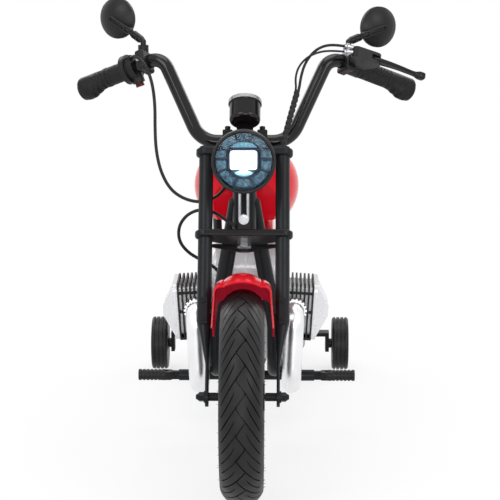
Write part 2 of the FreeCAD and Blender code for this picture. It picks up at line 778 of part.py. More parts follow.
def front_fender():
    """The front fender, its front edge bowed so that the middle reaches furthest ahead."""
    whole = at_front_axle(fender(FRONT_FENDER_START, FRONT_FENDER_END))
    tip = FENDER_RADIUS * math.sin(math.radians(FRONT_FENDER_START))
    base = at(0, tip + FENDER_BOW_RADIUS, TYRE_RADIUS)
    nose = Part.makeCylinder(FENDER_BOW_RADIUS, FENDER_RADIUS * 2, base, AXIS_Z)
    rest = box(span(0, FENDER_WIDTH * 2), (base.y, base.y + FENDER_RADIUS * 2),
               (TYRE_RADIUS, TYRE_RADIUS + FENDER_RADIUS * 2))
    return whole.common(nose.fuse(rest))


def rear_fender():
    return at_rear_axle(fender(REAR_FENDER_START, REAR_FENDER_END))


def backbone(radius):
    head = raked_point(0, 0, (LOWER_CLAMP_TOP + UPPER_CLAMP_FLOOR) / 2)
    points = [FreeCAD.Vector(0, head.y, BACKBONE_HEAD_Z),
              at(0, BACKBONE_BEND_BACK, BACKBONE_SEAT_Z),
              at(0, BACKBONE_END_BACK, BACKBONE_SEAT_Z)]
    return tube(points, [BACKBONE_BEND], radius)


def head_tube():
    floor = LOWER_CLAMP_TOP + SIDE_GAP + CUP_HEIGHT
    height = UPPER_CLAMP_FLOOR - SIDE_GAP - CUP_HEIGHT - floor
    return Part.makeCylinder(HEAD_TUBE_RADIUS, height, AXIS_Z * floor, AXIS_Z)


def cross_tube():
    half = STAY_SPACING / 2
    return rod(at(-half, BACKBONE_END_BACK, BACKBONE_SEAT_Z), at(half, BACKBONE_END_BACK, BACKBONE_SEAT_Z),
               CROSS_RADIUS)


def cradle_points():
    half = CRADLE_SPACING / 2
    rake = math.radians(RAKE)
    head_back = STEER_OFFSET / math.cos(rake) + (CRADLE_TOP_Z - TYRE_RADIUS) * math.tan(rake)
    return [at(CRADLE_TOP_SPACING / 2, head_back, CRADLE_TOP_Z),
            at(half, CRADLE_KNEE_BACK, CRADLE_KNEE_Z),
            at(half, CRADLE_FLOOR_BACK, CRADLE_FLOOR_Z),
            at(half, CRADLE_REAR_BACK, CRADLE_FLOOR_Z),
            at(DROPOUT_SPACING / 2, WHEELBASE, TYRE_RADIUS)]


def frame_spine():
    """Head tube, backbone and seat post with its foot across the cradle."""
    half = CRADLE_SPACING / 2
    low = at(0, SEAT_POST_BACK, CRADLE_FLOOR_Z)
    post = rod(low, at(0, SEAT_POST_BACK, BACKBONE_SEAT_Z), SEAT_POST_RADIUS)
    foot = rod(low - AXIS_X * half, low + AXIS_X * half, CROSS_RADIUS)
    spine = fused(raked(head_tube()), backbone(BACKBONE_RADIUS), post, foot)
    bore_length = UPPER_CLAMP_TOP - LOWER_CLAMP_FLOOR
    bore = Part.makeCylinder(STEM_RADIUS + SIDE_GAP * 2, bore_length, AXIS_Z * LOWER_CLAMP_FLOOR, AXIS_Z)
    return spine.cut(raked(bore)).cut(cross_tube())


def cradle_tube(spine):
    """One cradle tube of the left side, from the head tube down, back and up to the drop-out."""
    bends = [CRADLE_BEND * 2, CRADLE_BEND, CRADLE_BEND * 2]
    pipe = tube(cradle_points(), bends, CRADLE_RADIUS)
    plate = Part.makeCylinder(DROPOUT_RADIUS, DROPOUT_THICKNESS,
                              at((DROPOUT_SPACING - DROPOUT_THICKNESS) / 2, WHEELBASE, TYRE_RADIUS), AXIS_X)
    hole = Part.makeCylinder(REAR_AXLE_RADIUS, DROPOUT_SPACING, at(0, WHEELBASE, TYRE_RADIUS), AXIS_X)
    inside = box((0, DROPOUT_SPACING / 2 - DROPOUT_THICKNESS / 2),
                 span(at(0, WHEELBASE, 0).y, DROPOUT_RADIUS * 2), (0, TYRE_RADIUS * 2))
    outside = box((DROPOUT_SPACING / 2 + DROPOUT_THICKNESS / 2, DROPOUT_SPACING),
                  span(at(0, WHEELBASE, 0).y, DROPOUT_RADIUS * 2), (0, TYRE_RADIUS * 2))
    solid = fused(pipe.cut(inside).cut(outside), plate).cut(hole).cut(spine).cut(raked(head_tube()))
    return max(solid.Solids, key=lambda piece: piece.Volume)


def rear_stays():
    """Both seat stays with the tube that joins them across the frame, and the fender's lugs."""
    half = STAY_SPACING / 2
    top = at(half, BACKBONE_END_BACK, BACKBONE_SEAT_Z)
    foot = at(half, WHEELBASE, TYRE_RADIUS)
    pieces = []
    for share in STAY_LUG_SHARES:
        middle = top + (foot - top) * share
        lug_radius = STAY_RADIUS - FENDER_WALL
        lug_end = FreeCAD.Vector(fender_half((middle - foot).Length - lug_radius), middle.y, middle.z)
        pieces.append(rod(lug_end, middle, lug_radius))
    left = fused(rod(top, foot, STAY_RADIUS), *pieces)
    drop = Part.makeCylinder(DROPOUT_RADIUS, DROPOUT_SPACING, at(0, WHEELBASE, TYRE_RADIUS), AXIS_X)
    left = left.cut(drop)
    return fused(cross_tube(), left, mirrored(left))


def headset_cups():
    bore = STEM_RADIUS + RUNNING_FIT
    lower = ring(CUP_RADIUS, bore, CUP_HEIGHT, AXIS_Z * (LOWER_CLAMP_TOP + SIDE_GAP), AXIS_Z)
    upper_base = UPPER_CLAMP_FLOOR - SIDE_GAP - CUP_HEIGHT
    upper = ring(CUP_RADIUS, bore, CUP_HEIGHT, AXIS_Z * upper_base, AXIS_Z)
    return raked(group(lower, upper))


def case_outline(inset):
    corner = CASE_CORNER - inset
    front = CASE_FRONT_BACK + CASE_CORNER
    rear = CASE_FRONT_BACK + CASE_LENGTH - CASE_CORNER
    low = CASE_FLOOR_Z + CASE_CORNER
    high = CASE_TOP_Z - CASE_CORNER
    circles = [(front, low, corner), (rear, low, corner), (rear, high, corner), (front, high, corner)]
    return hull_face(circles, side_plane)


def cylinder_placement():
    """The cylinders droop a little towards their outer ends."""
    base = at(CASE_HALF_WIDTH, CYLINDER_BACK, CYLINDER_Z)
    return FreeCAD.Placement(base, FreeCAD.Rotation(AXIS_Y, CYLINDER_DROOP))


def upright_slab(x_start, x_end, depth, height, corner):
    """A slab across X with rounded corners, about the cylinder's axis."""
    a = depth / 2 - corner
    b = height / 2 - corner
    circles = [(-a, -b, corner), (a, -b, corner), (a, b, corner), (-a, b, corner)]
    face = hull_face(circles, lambda y, z: FreeCAD.Vector(x_start, y, z))
    return face.extrude(AXIS_X * (x_end - x_start))


def fin_stack_end():
    return FIN_STACK_START_X + FIN_PITCH * (FIN_COUNT - 1) + FIN_THICKNESS - CASE_HALF_WIDTH


def barrel(start):
    depth = FIN_DEPTH - BARREL_INSET * 2
    height = FIN_HEIGHT - BARREL_INSET * 2
    return upright_slab(start, fin_stack_end(), depth, height, FIN_ROUND - BARREL_INSET / 2)


def engine_case():
    """The left half of the engine cover, a shell open at the middle, with its dummy cylinder."""
    outer = case_outline(0).extrude(AXIS_X * CASE_HALF_WIDTH)
    rim = [e for e in outer.Edges if min(v.X for v in e.Vertexes) > CASE_HALF_WIDTH - CASE_WALL]
    outer = outer.makeFillet(CASE_EDGE_ROUND, rim)
    inner = case_outline(CASE_WALL).extrude(AXIS_X * (CASE_HALF_WIDTH - CASE_WALL))
    low = CASE_TOP_Z - CASE_CORNER - CASE_RIB_PITCH * CASE_RIB_COUNT
    discs = []
    for radius, height in zip(CASE_DISC_RADII, CASE_DISC_HEIGHTS):
        disc = Part.makeCylinder(radius, height, at(CASE_HALF_WIDTH, CASE_DISC_BACK, CASE_DISC_Z), AXIS_X)
        discs.append(disc.makeFillet(CASE_DISC_ROUND, [disc.Edges[0]]))
    shell = fused(outer, moved(barrel(-CASE_WALL / 2), cylinder_placement()), *discs).cut(inner)
    for index in range(CASE_RIB_COUNT):
        z = low + CASE_RIB_PITCH * index
        front = at(0, CASE_FRONT_BACK, 0).y
        slot = box((0, CASE_HALF_WIDTH + OVERRUN), (front - OVERRUN, front + CASE_RIB_DEPTH),
                   (z, z + CASE_RIB_WIDTH))
        shell = shell.cut(slot)
    return shell


def cylinder_fins():
    """Fin plates round one barrel, held together by bands across their front and back."""
    core_height = FIN_HEIGHT - BARREL_INSET * 2
    core_depth = FIN_DEPTH - BARREL_INSET * 2
    start = FIN_STACK_START_X - CASE_HALF_WIDTH
    end = fin_stack_end()
    plates = []
    for index in range(FIN_COUNT):
        x = start + FIN_PITCH * index
        plates.append(upright_slab(x, x + FIN_THICKNESS, FIN_DEPTH, FIN_HEIGHT, FIN_ROUND))
    for share in FIN_BAND_SHARES:
        z = span(FIN_HEIGHT * share, FIN_BAND_HEIGHT)
        plates.append(box((start, end), span(0, FIN_DEPTH - FIN_ROUND / 2), z))
    core = upright_slab(start - OVERRUN, end + OVERRUN, core_depth, core_height, FIN_ROUND - BARREL_INSET / 2)
    return moved(fused(*plates).cut(core), cylinder_placement())


def valve_cover():
    """A bright cover with a lip, tapering to a flat ridge at its outer end."""
    start = fin_stack_end()
    lip = upright_slab(start, start + COVER_LIP, COVER_BASE_DEPTH, COVER_BASE_HEIGHT, FIN_ROUND)
    sections = []
    for x, depth, height in ((start + COVER_LIP, COVER_BASE_DEPTH, COVER_BASE_HEIGHT),
                             (start + COVER_LENGTH, COVER_TOP_DEPTH, COVER_TOP_HEIGHT)):
        y = depth / 2 - COVER_ROUND
        z = height / 2 - COVER_ROUND
        corners = [(-y, -z), (y, -z), (y, z), (-y, z), (-y, -z)]
        sections.append(Part.makePolygon([FreeCAD.Vector(x, a, b) for a, b in corners]))
    bulge = Part.makeLoft(sections, True, True)
    return moved(fused(lip, bulge), cylinder_placement())


def exhaust():
    """The left exhaust: finned collar at the cylinder, down pipe, elbow and silencer."""
    port_back = CYLINDER_BACK - FIN_DEPTH / 2 - SEAT_GAP
    port = at(PIPE_PORT_X, port_back, PIPE_PORT_Z)
    floor = at(PIPE_DROP_X, PIPE_DROP_BACK, PIPE_FLOOR_Z)
    tail = at(PIPE_REAR_X, PIPE_REAR_BACK, PIPE_REAR_Z)
    points = [port, at(PIPE_PORT_X, PIPE_DROP_BACK, PIPE_PORT_Z), floor, tail]
    pipe = tube(points, [PIPE_TOP_BEND, PIPE_FLOOR_BEND], PIPE_RADIUS)
    collar = Part.makeCylinder(COLLAR_RADIUS, COLLAR_LENGTH, port, BACK_TO_FRONT)
    tooth = box(span(0, COLLAR_TOOTH_WIDTH), (-COLLAR_LENGTH - OVERRUN, OVERRUN),
                (COLLAR_RADIUS - COLLAR_TOOTH_DEPTH, COLLAR_RADIUS + OVERRUN))
    slots = []
    for index in range(COLLAR_TEETH):
        turn = FreeCAD.Rotation(AXIS_Y, 360 / COLLAR_TEETH * index)
        slots.append(moved(tooth, FreeCAD.Placement(port, turn)))
    collar = collar.cut(Part.makeCompound(slots))
    share = (SILENCER_START_BACK - PIPE_DROP_BACK) / (PIPE_REAR_BACK - PIPE_DROP_BACK)
    silencer = rod(floor + (tail - floor) * share, tail, SILENCER_RADIUS)
    back = unit(tail - floor)
    bore = rod(tail - back * TAIL_BORE_DEPTH, tail + back * OVERRUN, TAIL_BORE_RADIUS)
    return fused(pipe, collar, silencer).cut(bore)


def bowl_section(back, width, height, floor, shares):
    """A closed section across X: flat foot, bulging sides and a crowned top."""
    foot_share, waist_share, shoulder_share, shoulder_width_share = shares
    half = width / 2
    foot = half * foot_share
    waist_z = floor + height * waist_share
    shoulder_z = floor + height * shoulder_share
    shoulder = half * shoulder_width_share
    edges = [Part.LineSegment(at(-foot, back, floor), at(foot, back, floor)),
             Part.Arc(at(foot, back, floor), at(half, back, waist_z), at(shoulder, back, shoulder_z)),
             Part.Arc(at(shoulder, back, shoulder_z), at(0, back, floor + height),
                      at(-shoulder, back, shoulder_z)),
             Part.Arc(at(-shoulder, back, shoulder_z), at(-half, back, waist_z), at(-foot, back, floor))]
    return Part.Wire([edge.toShape() for edge in edges])


def tank_loft(inset, floor):
    shares = (TANK_FOOT_SHARE, TANK_WAIST_SHARE, TANK_SHOULDER_SHARE, TANK_SHOULDER_WIDTH_SHARE)
    sections = []
    for place, width, height in zip(TANK_STATION_SHARES, TANK_WIDTH_SHARES, TANK_HEIGHT_SHARES):
        back = TANK_FRONT_BACK + inset + (TANK_LENGTH - inset * 2) * place
        top = TANK_FLOOR_Z + TANK_HEIGHT * height - inset
        sections.append(bowl_section(back, TANK_WIDTH * width - inset * 2, top - floor, floor, shares))
    return Part.makeLoft(sections, True, False)


def tank_cap():
    """A round filler cap on a short neck, standing on the top of the tank."""
    seat = at(0, TANK_CAP_BACK, TANK_FLOOR_Z + TANK_HEIGHT)
    cap = Part.makeCylinder(TANK_CAP_RADIUS, TANK_CAP_HEIGHT, seat, AXIS_Z)
    cap = cap.makeFillet(TANK_CAP_NECK / 2, [cap.Edges[0]])
    neck = rod(seat - AXIS_Z * TANK_CAP_NECK * 2, seat, TANK_CAP_RADIUS - TANK_CAP_NECK)
    return fused(cap, neck)


def fuel_tank(cap):
    """The tank cover, a shell open below that sits astride the backbone."""
    shell = tank_loft(0, TANK_FLOOR_Z).cut(tank_loft(TANK_WALL, TANK_FLOOR_Z - OVERRUN))
    spine = backbone(BACKBONE_RADIUS + SEAT_GAP)
    below = moved(spine, FreeCAD.Placement(AXIS_Z * -BACKBONE_RADIUS, FreeCAD.Rotation()))
    return shell.cut(spine).cut(below).cut(cap)


def seat_back(share):
    return SEAT_FRONT_BACK + SEAT_LENGTH * share


def seat_pan():
    """A plate under the cushion that sits on the backbone."""
    right = []
    for place, width in zip(SEAT_STATION_SHARES, SEAT_WIDTH_SHARES):
        right.append(at(SEAT_WIDTH * width * CUSHION_TUCK_SHARE / 2, seat_back(place), PAN_FLOOR_Z))
    left = [FreeCAD.Vector(-point.x, point.y, point.z) for point in reversed(right)]
    outline = Part.makePolygon(right + left + right[:1])
    return Part.Face(outline).extrude(AXIS_Z * PAN_THICKNESS)


def seat_cushion():
    """A padded seat: drawn-in sides, crowned top, raised rear and sewn channels across it."""
    floor = PAN_FLOOR_Z + PAN_THICKNESS
    shares = (CUSHION_TUCK_SHARE, CUSHION_WAIST_SHARE, 1 - SEAT_CROWN_SHARE, CUSHION_SHOULDER_SHARE)
    stations = list(zip(SEAT_STATION_SHARES, SEAT_WIDTH_SHARES, SEAT_HEIGHT_SHARES))
    sections = []
    for place, width, height in stations:
        sections.append(bowl_section(seat_back(place), SEAT_WIDTH * width, CUSHION_HEIGHT * height,
                                     floor, shares))
    cushion = Part.makeLoft(sections, True, False)
    for place in SEAT_CHANNEL_SHARES:
        for before, after in zip(stations, stations[1:]):
            if before[0] <= place <= after[0]:
                blend = (place - before[0]) / (after[0] - before[0])
                width = before[1] + (after[1] - before[1]) * blend
                height = before[2] + (after[2] - before[2]) * blend
        half = SEAT_WIDTH * width * CUSHION_SHOULDER_SHARE / 2
        top = floor + CUSHION_HEIGHT * height
        side = top - CUSHION_HEIGHT * height * SEAT_CROWN_SHARE
        arc = Part.Arc(at(-half, seat_back(place), side), at(0, seat_back(place), top),
                       at(half, seat_back(place), side))
        path = Part.Wire(arc.toShape())
        start = at(-half, seat_back(place), side)
        section = Part.Wire(Part.makeCircle(SEAT_CHANNEL_RADIUS, start, arc.tangent(arc.FirstParameter)[0]))
        cushion = cushion.cut(path.makePipeShell([section], True, False))
    return cushion


def tail_light():
    """A round lamp standing out from the rear fender and shaped to its crown."""
    base = AXIS_Z * (FENDER_RADIUS - FENDER_CROWN / 2)
    lamp = Part.makeCylinder(TAIL_LIGHT_RADIUS, TAIL_LIGHT_DEPTH + FENDER_CROWN / 2, base, AXIS_Z)
    lamp = lamp.makeFillet(TAIL_LIGHT_ROUND, [lamp.Edges[0]])
    lamp = at_rear_axle(moved(lamp, FreeCAD.Placement(ORIGIN, FreeCAD.Rotation(AXIS_X, -TAIL_LIGHT_ANGLE))))
    return max(lamp.cut(rear_fender()).Solids, key=lambda piece: piece.Volume)


def rear_axle():
    """Axle with turned-down ends, its nuts outside the stabiliser straps, and the hub's spacers."""
    inner = DROPOUT_SPACING / 2 - DROPOUT_THICKNESS / 2
    nut_x = DROPOUT_SPACING / 2 + DROPOUT_THICKNESS / 2 + STRAP_THICKNESS
    hub_x = MOTOR_WIDTH / 2 + SIDE_GAP
    middle = at(0, WHEELBASE, TYRE_RADIUS)
    nut_end = AXIS_X * (nut_x + REAR_NUT_HEIGHT)
    neck_end = nut_end + AXIS_X * REAR_NECK_LENGTH
    stub_end = neck_end + AXIS_X * REAR_AXLE_STUB
    axle = fused(rod(middle - nut_end, middle + nut_end, REAR_AXLE_RADIUS),
                 rod(middle - neck_end, middle + neck_end, REAR_NECK_RADIUS),
                 rod(middle - stub_end, middle - neck_end, REAR_STUB_RADIUS),
                 rod(middle + neck_end, middle + stub_end, REAR_STUB_RADIUS))
    pieces = [axle]
    for side in (-1, 1):
        nut = hexagon(REAR_NUT_FLATS, REAR_NUT_HEIGHT, middle + AXIS_X * (side * nut_x), AXIS_X * side)
        pieces.append(nut.cut(axle))
    start = hub_x + BRAKE_WIDTH + BRAKE_ARM_THICKNESS
    pieces.append(ring(SPACER_RADIUS * 2, REAR_AXLE_RADIUS, inner - start, middle + AXIS_X * start, AXIS_X))
    pieces.append(ring(SPACER_RADIUS * 2, REAR_AXLE_RADIUS, inner - hub_x, middle - AXIS_X * hub_x, -AXIS_X))
    return group(*pieces)


def rear_brake():
    """A drum brake's cover plate with its arm, beside the hub on the left."""
    hub_x = MOTOR_WIDTH / 2 + SIDE_GAP
    plate = Part.makeCylinder(BRAKE_RADIUS, BRAKE_WIDTH, AXIS_X * hub_x, AXIS_X)
    arm_x = hub_x + BRAKE_WIDTH
    circles = [(0, 0, BRAKE_ARM_WIDTH), (BRAKE_ARM_LENGTH, 0, BRAKE_ARM_EYE)]
    arm = hull_face(circles, lambda a, b: FreeCAD.Vector(arm_x, a, b)).extrude(AXIS_X * BRAKE_ARM_THICKNESS)
    bore = Part.makeCylinder(REAR_AXLE_RADIUS, DROPOUT_SPACING, ORIGIN, AXIS_X)
    return at_rear_axle(fused(plate, arm).cut(bore))


def stabiliser_strap():
    """The left bracket: a flat bar from the rear axle, bent outwards and down to its wheel."""
    inner = DROPOUT_SPACING / 2 + DROPOUT_THICKNESS / 2
    outer = inner + STRAP_THICKNESS
    top = TYRE_RADIUS + STRAP_TOP_RISE
    shelf = STRAP_SHELF_Z + STRAP_THICKNESS
    leg_end = STRAP_LEG_X + STRAP_THICKNESS
    foot = STABILISER_RADIUS - STRAP_FOOT_DROP
    outline = [(inner, top), (outer, top), (outer, shelf), (leg_end, shelf), (leg_end, foot),
               (STRAP_LEG_X, foot), (STRAP_LEG_X, STRAP_SHELF_Z), (inner, STRAP_SHELF_Z), (inner, top)]
    near = WHEELBASE - STRAP_WIDTH / 2
    face = Part.Face(Part.makePolygon([at(x, near, z) for x, z in outline]))
    strap = face.extrude(AXIS_Y * STRAP_WIDTH)
    axle = Part.makeCylinder(REAR_AXLE_RADIUS, DROPOUT_SPACING, at(0, WHEELBASE, TYRE_RADIUS), AXIS_X)
    bolt = Part.makeCylinder(STABILISER_BOLT_RADIUS, STABILISER_MIDDLE_X,
                             at(0, WHEELBASE, STABILISER_RADIUS), AXIS_X)
    return strap.cut(axle).cut(bolt)


def stabiliser_bolt():
    """The left stabiliser wheel's axle bolt with a shoulder inside and a head outside."""
    middle = at(0, WHEELBASE, STABILISER_RADIUS)
    wheel_in = STABILISER_MIDDLE_X - STABILISER_WIDTH / 2
    head_x = wheel_in + STABILISER_WIDTH - STABILISER_HUB_RECESS + SIDE_GAP
    shaft = rod(middle + AXIS_X * STRAP_LEG_X, middle + AXIS_X * head_x, STABILISER_BOLT_RADIUS)
    shoulder = rod(middle + AXIS_X * (STRAP_LEG_X + STRAP_THICKNESS), middle + AXIS_X * (wheel_in - SIDE_GAP),
                   STABILISER_HEAD_RADIUS)
    head = hexagon(STABILISER_HEAD_RADIUS * 2, STABILISER_HEAD_HEIGHT, middle + AXIS_X * head_x, AXIS_X)
    return fused(shaft, shoulder, head)


def peg_plane(a, b):
    return at(a, PEG_BACK, b)


def footpeg_bar(cradles):
    """A bar hung under the cradle, with a ribbed sleeve and a hinge tongue at each end."""
    bar = rod(at(0, PEG_BACK, PEG_Z), at(PEG_SLEEVE_END_X, PEG_BACK, PEG_Z), PEG_BAR_RADIUS)
    sleeve = rod(at(PEG_SLEEVE_START_X, PEG_BACK, PEG_Z), at(PEG_SLEEVE_END_X, PEG_BACK, PEG_Z), PEG_RADIUS)
    circles = [(PEG_SLEEVE_START_X, PEG_Z, PEG_TONGUE_RADIUS), (PEG_PIVOT_X, PEG_Z, PEG_TONGUE_RADIUS)]
    tongue = hull_face(circles, peg_plane).extrude(AXIS_Y * PEG_TONGUE)
    tongue.translate(AXIS_Y * (-PEG_TONGUE / 2))
    hole = rod(at(PEG_PIVOT_X, PEG_BACK - PEG_RADIUS, PEG_Z), at(PEG_PIVOT_X, PEG_BACK + PEG_RADIUS, PEG_Z),
               PEG_PIN_RADIUS)
    hanger = box(span(CRADLE_SPACING / 2, PEG_HANGER_WIDTH), span(at(0, PEG_BACK, 0).y, PEG_HANGER_DEPTH),
                 (PEG_Z, CRADLE_FLOOR_Z))
    left = fused(bar, sleeve, tongue, hanger).cut(hole)
    return fused(left, mirrored(left)).cut(cradles)


def footpeg():
    """The left peg: ribbed rubber with two ears astride the tongue."""
    start = at(PEG_PIVOT_X + PEG_BODY_START, PEG_BACK, PEG_Z)
    body = rod(start, at(PEG_END_X, PEG_BACK, PEG_Z), PEG_RADIUS)
    body = body.makeFillet(PEG_RIB_DEPTH, [e for e in body.Edges if e.Vertexes[0].X > PEG_END_X - PEG_EAR])
    pitch = (PEG_END_X - start.x) / (PEG_RIB_COUNT + 1)
    for index in range(PEG_RIB_COUNT):
        base = start + AXIS_X * (pitch * (index + 1) - PEG_RIB_DEPTH)
        floor = PEG_RADIUS - PEG_RIB_DEPTH
        body = body.cut(ring(PEG_RADIUS + OVERRUN, floor, PEG_RIB_DEPTH * 2, base, AXIS_X))
    inner = PEG_TONGUE / 2 + SIDE_GAP
    ears = []
    for offset in (inner, -inner - PEG_EAR):
        circles = [(PEG_PIVOT_X, PEG_Z, PEG_TONGUE_RADIUS), (start.x + PEG_EAR, PEG_Z, PEG_TONGUE_RADIUS)]
        ear = hull_face(circles, peg_plane).extrude(AXIS_Y * PEG_EAR)
        ear.translate(AXIS_Y * offset)
        ears.append(ear)
    reach = PEG_RADIUS * 2
    hole = rod(at(PEG_PIVOT_X, PEG_BACK - reach, PEG_Z), at(PEG_PIVOT_X, PEG_BACK + reach, PEG_Z),
               PEG_PIN_RADIUS + RUNNING_FIT)
    return fused(body, *ears).cut(hole)


def footpeg_pin():
    outer = PEG_TONGUE / 2 + SIDE_GAP * 2 + PEG_EAR
    front = at(PEG_PIVOT_X, PEG_BACK - outer, PEG_Z)
    rear = at(PEG_PIVOT_X, PEG_BACK + outer, PEG_Z)
    heads = [Part.makeCylinder(PEG_PIN_HEAD_RADIUS, PEG_PIN_HEAD, front, BACK_TO_FRONT),
             Part.makeCylinder(PEG_PIN_HEAD_RADIUS, PEG_PIN_HEAD, rear, AXIS_Y)]
    return fused(rod(front, rear, PEG_PIN_RADIUS), *heads)


def pressed_section(x, z, thickness, depth):
    """A section across a fork leg: two flat sides joined by two round ends."""
    half = thickness / 2
    reach = depth / 2 - half
    front = -STEER_OFFSET - reach
    rear = -STEER_OFFSET + reach
    edges = [Part.LineSegment(FreeCAD.Vector(x + half, front, z), FreeCAD.Vector(x + half, rear, z)),
             Part.Arc(FreeCAD.Vector(x + half, rear, z), FreeCAD.Vector(x, rear + half, z),
                      FreeCAD.Vector(x - half, rear, z)),
             Part.LineSegment(FreeCAD.Vector(x - half, rear, z), FreeCAD.Vector(x - half, front, z)),
             Part.Arc(FreeCAD.Vector(x - half, front, z), FreeCAD.Vector(x, front - half, z),
                      FreeCAD.Vector(x + half, front, z))]
    return Part.Wire([edge.toShape() for edge in edges])


def round_section(x, z, radius):
    """The round section of a fork leg, in four arcs that match the pressed one."""
    edges = []
    for quarter in range(4):
        angles = [math.pi / 4 * (quarter * 2 - 1 + step) for step in range(3)]
        arc = []
        for angle in angles:
            y = radius * math.sin(angle) - STEER_OFFSET
            arc.append(FreeCAD.Vector(x + radius * math.cos(angle), y, z))
        edges.append(Part.Arc(*arc).toShape())
    return Part.Wire(edges)


def fork_leg():
    """The left leg along the steering axis: round tube, pressed taper and flat blade."""
    height = UPPER_CLAMP_TOP + LEG_CAP_HEIGHT - LEG_TAPER_TOP
    pipe = Part.makeCylinder(LEG_RADIUS, height, FreeCAD.Vector(LEG_X, -STEER_OFFSET, LEG_TAPER_TOP), AXIS_Z)
    pressed = pressed_section(BLADE_X, LEG_TAPER_BOTTOM, BLADE_THICKNESS, BLADE_WIDTH)
    taper = Part.makeLoft([round_section(LEG_X, LEG_TAPER_TOP, LEG_RADIUS), pressed], True, True)
    blade = Part.Face(pressed).extrude(AXIS_Z * -LEG_TAPER_BOTTOM)
    foot_start = FreeCAD.Vector(BLADE_X - BLADE_THICKNESS / 2, -STEER_OFFSET, 0)
    foot = Part.makeCylinder(BLADE_WIDTH / 2, BLADE_THICKNESS, foot_start, AXIS_X)
    front = -STEER_OFFSET - LEG_RADIUS - PAD_THICKNESS
    pad = box(span(LEG_X, PAD_WIDTH), (front, -STEER_OFFSET), span(PAD_ALONG_LEG, PAD_HEIGHT))
    lug_start = fender_half(PAD_ALONG_LEG - LUG_RADIUS)
    lug = rod(FreeCAD.Vector(lug_start, -STEER_OFFSET, PAD_ALONG_LEG),
              FreeCAD.Vector(LEG_X, -STEER_OFFSET, PAD_ALONG_LEG), LUG_RADIUS)
    axle = Part.makeCylinder(FRONT_AXLE_RADIUS, LEG_SPACING, FreeCAD.Vector(0, -STEER_OFFSET, 0), AXIS_X)
    return raked(fused(pipe, taper, blade, foot, pad, lug).cut(axle))


def pad_screws():
    screws = []
    front = -STEER_OFFSET - LEG_RADIUS - PAD_THICKNESS
    for side in (-1, 1):
        for z in span(PAD_ALONG_LEG, PAD_SCREW_PITCH):
            base = FreeCAD.Vector(side * LEG_X, front, z)
            screws.append(raked(Part.makeCylinder(PAD_SCREW_RADIUS, PAD_SCREW_HEAD, base, BACK_TO_FRONT)))
    return screws


def front_axle():
    """Axle, dome nuts with flanges outside the blades, and spacers inside them."""
    middle = at(0, 0, TYRE_RADIUS)
    inner = BLADE_X - BLADE_THICKNESS / 2
    outer = BLADE_X + BLADE_THICKNESS / 2
    hub = HUB_WIDTH / 2 + SIDE_GAP
    axle = rod(middle - AXIS_X * outer, middle + AXIS_X * outer, FRONT_AXLE_RADIUS)
    pieces = [axle]
    for side in (-1, 1):
        out = AXIS_X * side
        pieces.append(ring(SPACER_RADIUS, FRONT_AXLE_RADIUS, inner - hub, middle + out * hub, out))
        flange = Part.makeCylinder(NUT_FLANGE_RADIUS, NUT_FLANGE_HEIGHT, middle + out * outer, out)
        nut = hexagon(NUT_FLATS, NUT_HEIGHT, middle + out * (outer + NUT_FLANGE_HEIGHT), out)
        dome_start = middle + out * (outer + NUT_FLANGE_HEIGHT + NUT_HEIGHT)
        dome = Part.makeCone(NUT_FLATS / 2, NUT_FLATS / 4, NUT_DOME_HEIGHT, dome_start, out)
        pieces.append(fused(flange, nut, dome))
    return group(*pieces)


def clamp_plate(floor, thickness):
    """A fork clamp: the taut outline round both legs and the stem."""
    circles = [(-LEG_X, -STEER_OFFSET, CLAMP_EYE_RADIUS), (LEG_X, -STEER_OFFSET, CLAMP_EYE_RADIUS),
               (0, 0, CLAMP_HUB_RADIUS)]
    plate = hull_face(circles, flat_plane).extrude(AXIS_Z * thickness)
    edges = [e for e in plate.Edges if e.BoundBox.ZLength < thickness / 2]
    plate = plate.makeFillet(CLAMP_EDGE_ROUND, edges)
    plate.translate(AXIS_Z * floor)
    for side in (-1, 1):
        base = FreeCAD.Vector(side * LEG_X, -STEER_OFFSET, floor - OVERRUN)
        plate = plate.cut(Part.makeCylinder(LEG_RADIUS, thickness + OVERRUN * 2, base, AXIS_Z))
    return plate


def steering_stem():
    """The stem with the lower clamp and the headlight's tab welded to it."""
    plate = clamp_plate(LOWER_CLAMP_FLOOR, LOWER_CLAMP_THICKNESS)
    rear = CLAMP_HUB_RADIUS - CLAMP_FLANGE_WALL - CLAMP_EDGE_ROUND
    seat = LOWER_CLAMP_FLOOR + CLAMP_EDGE_ROUND
    low = LOWER_CLAMP_FLOOR - CLAMP_FLANGE_DROP
    tip = CLAMP_FLANGE_TIP / 2
    outline = [(-LEG_X, seat), (-LEG_X, LOWER_CLAMP_FLOOR), (-tip, low), (tip, low),
               (LEG_X, LOWER_CLAMP_FLOOR), (LEG_X, seat), (-LEG_X, seat)]
    face = Part.Face(Part.makePolygon([FreeCAD.Vector(x, rear, z) for x, z in outline]))
    flange = face.extrude(AXIS_Y * CLAMP_FLANGE_WALL)
    stem = rod(AXIS_Z * LOWER_CLAMP_FLOOR, AXIS_Z * UPPER_CLAMP_FLOOR, STEM_RADIUS)
    foot = raked_point(0, -STEER_OFFSET, LOWER_CLAMP_TOP - LOWER_CLAMP_THICKNESS / 2)
    circles = [(0, foot.z, CLAMP_TAB_WIDTH / 2), (0, HAIRPIN_BOLT_HEIGHT, CLAMP_TAB_ROUND)]
    tab = hull_face(circles, lambda x, z: at(x, HAIRPIN_BOLT_BACK, z)).extrude(AXIS_Y * CLAMP_TAB_THICKNESS)
    keep_floor = AXIS_Z * (LOWER_CLAMP_FLOOR + CLAMP_EDGE_ROUND)
    keep = Part.makeCylinder(LEG_SPACING, UPPER_CLAMP_TOP, keep_floor, AXIS_Z)
    return fused(raked(plate), raked(stem), raked(flange), tab.common(raked(keep)))


def upper_clamp():
    return raked(clamp_plate(UPPER_CLAMP_FLOOR, UPPER_CLAMP_THICKNESS))


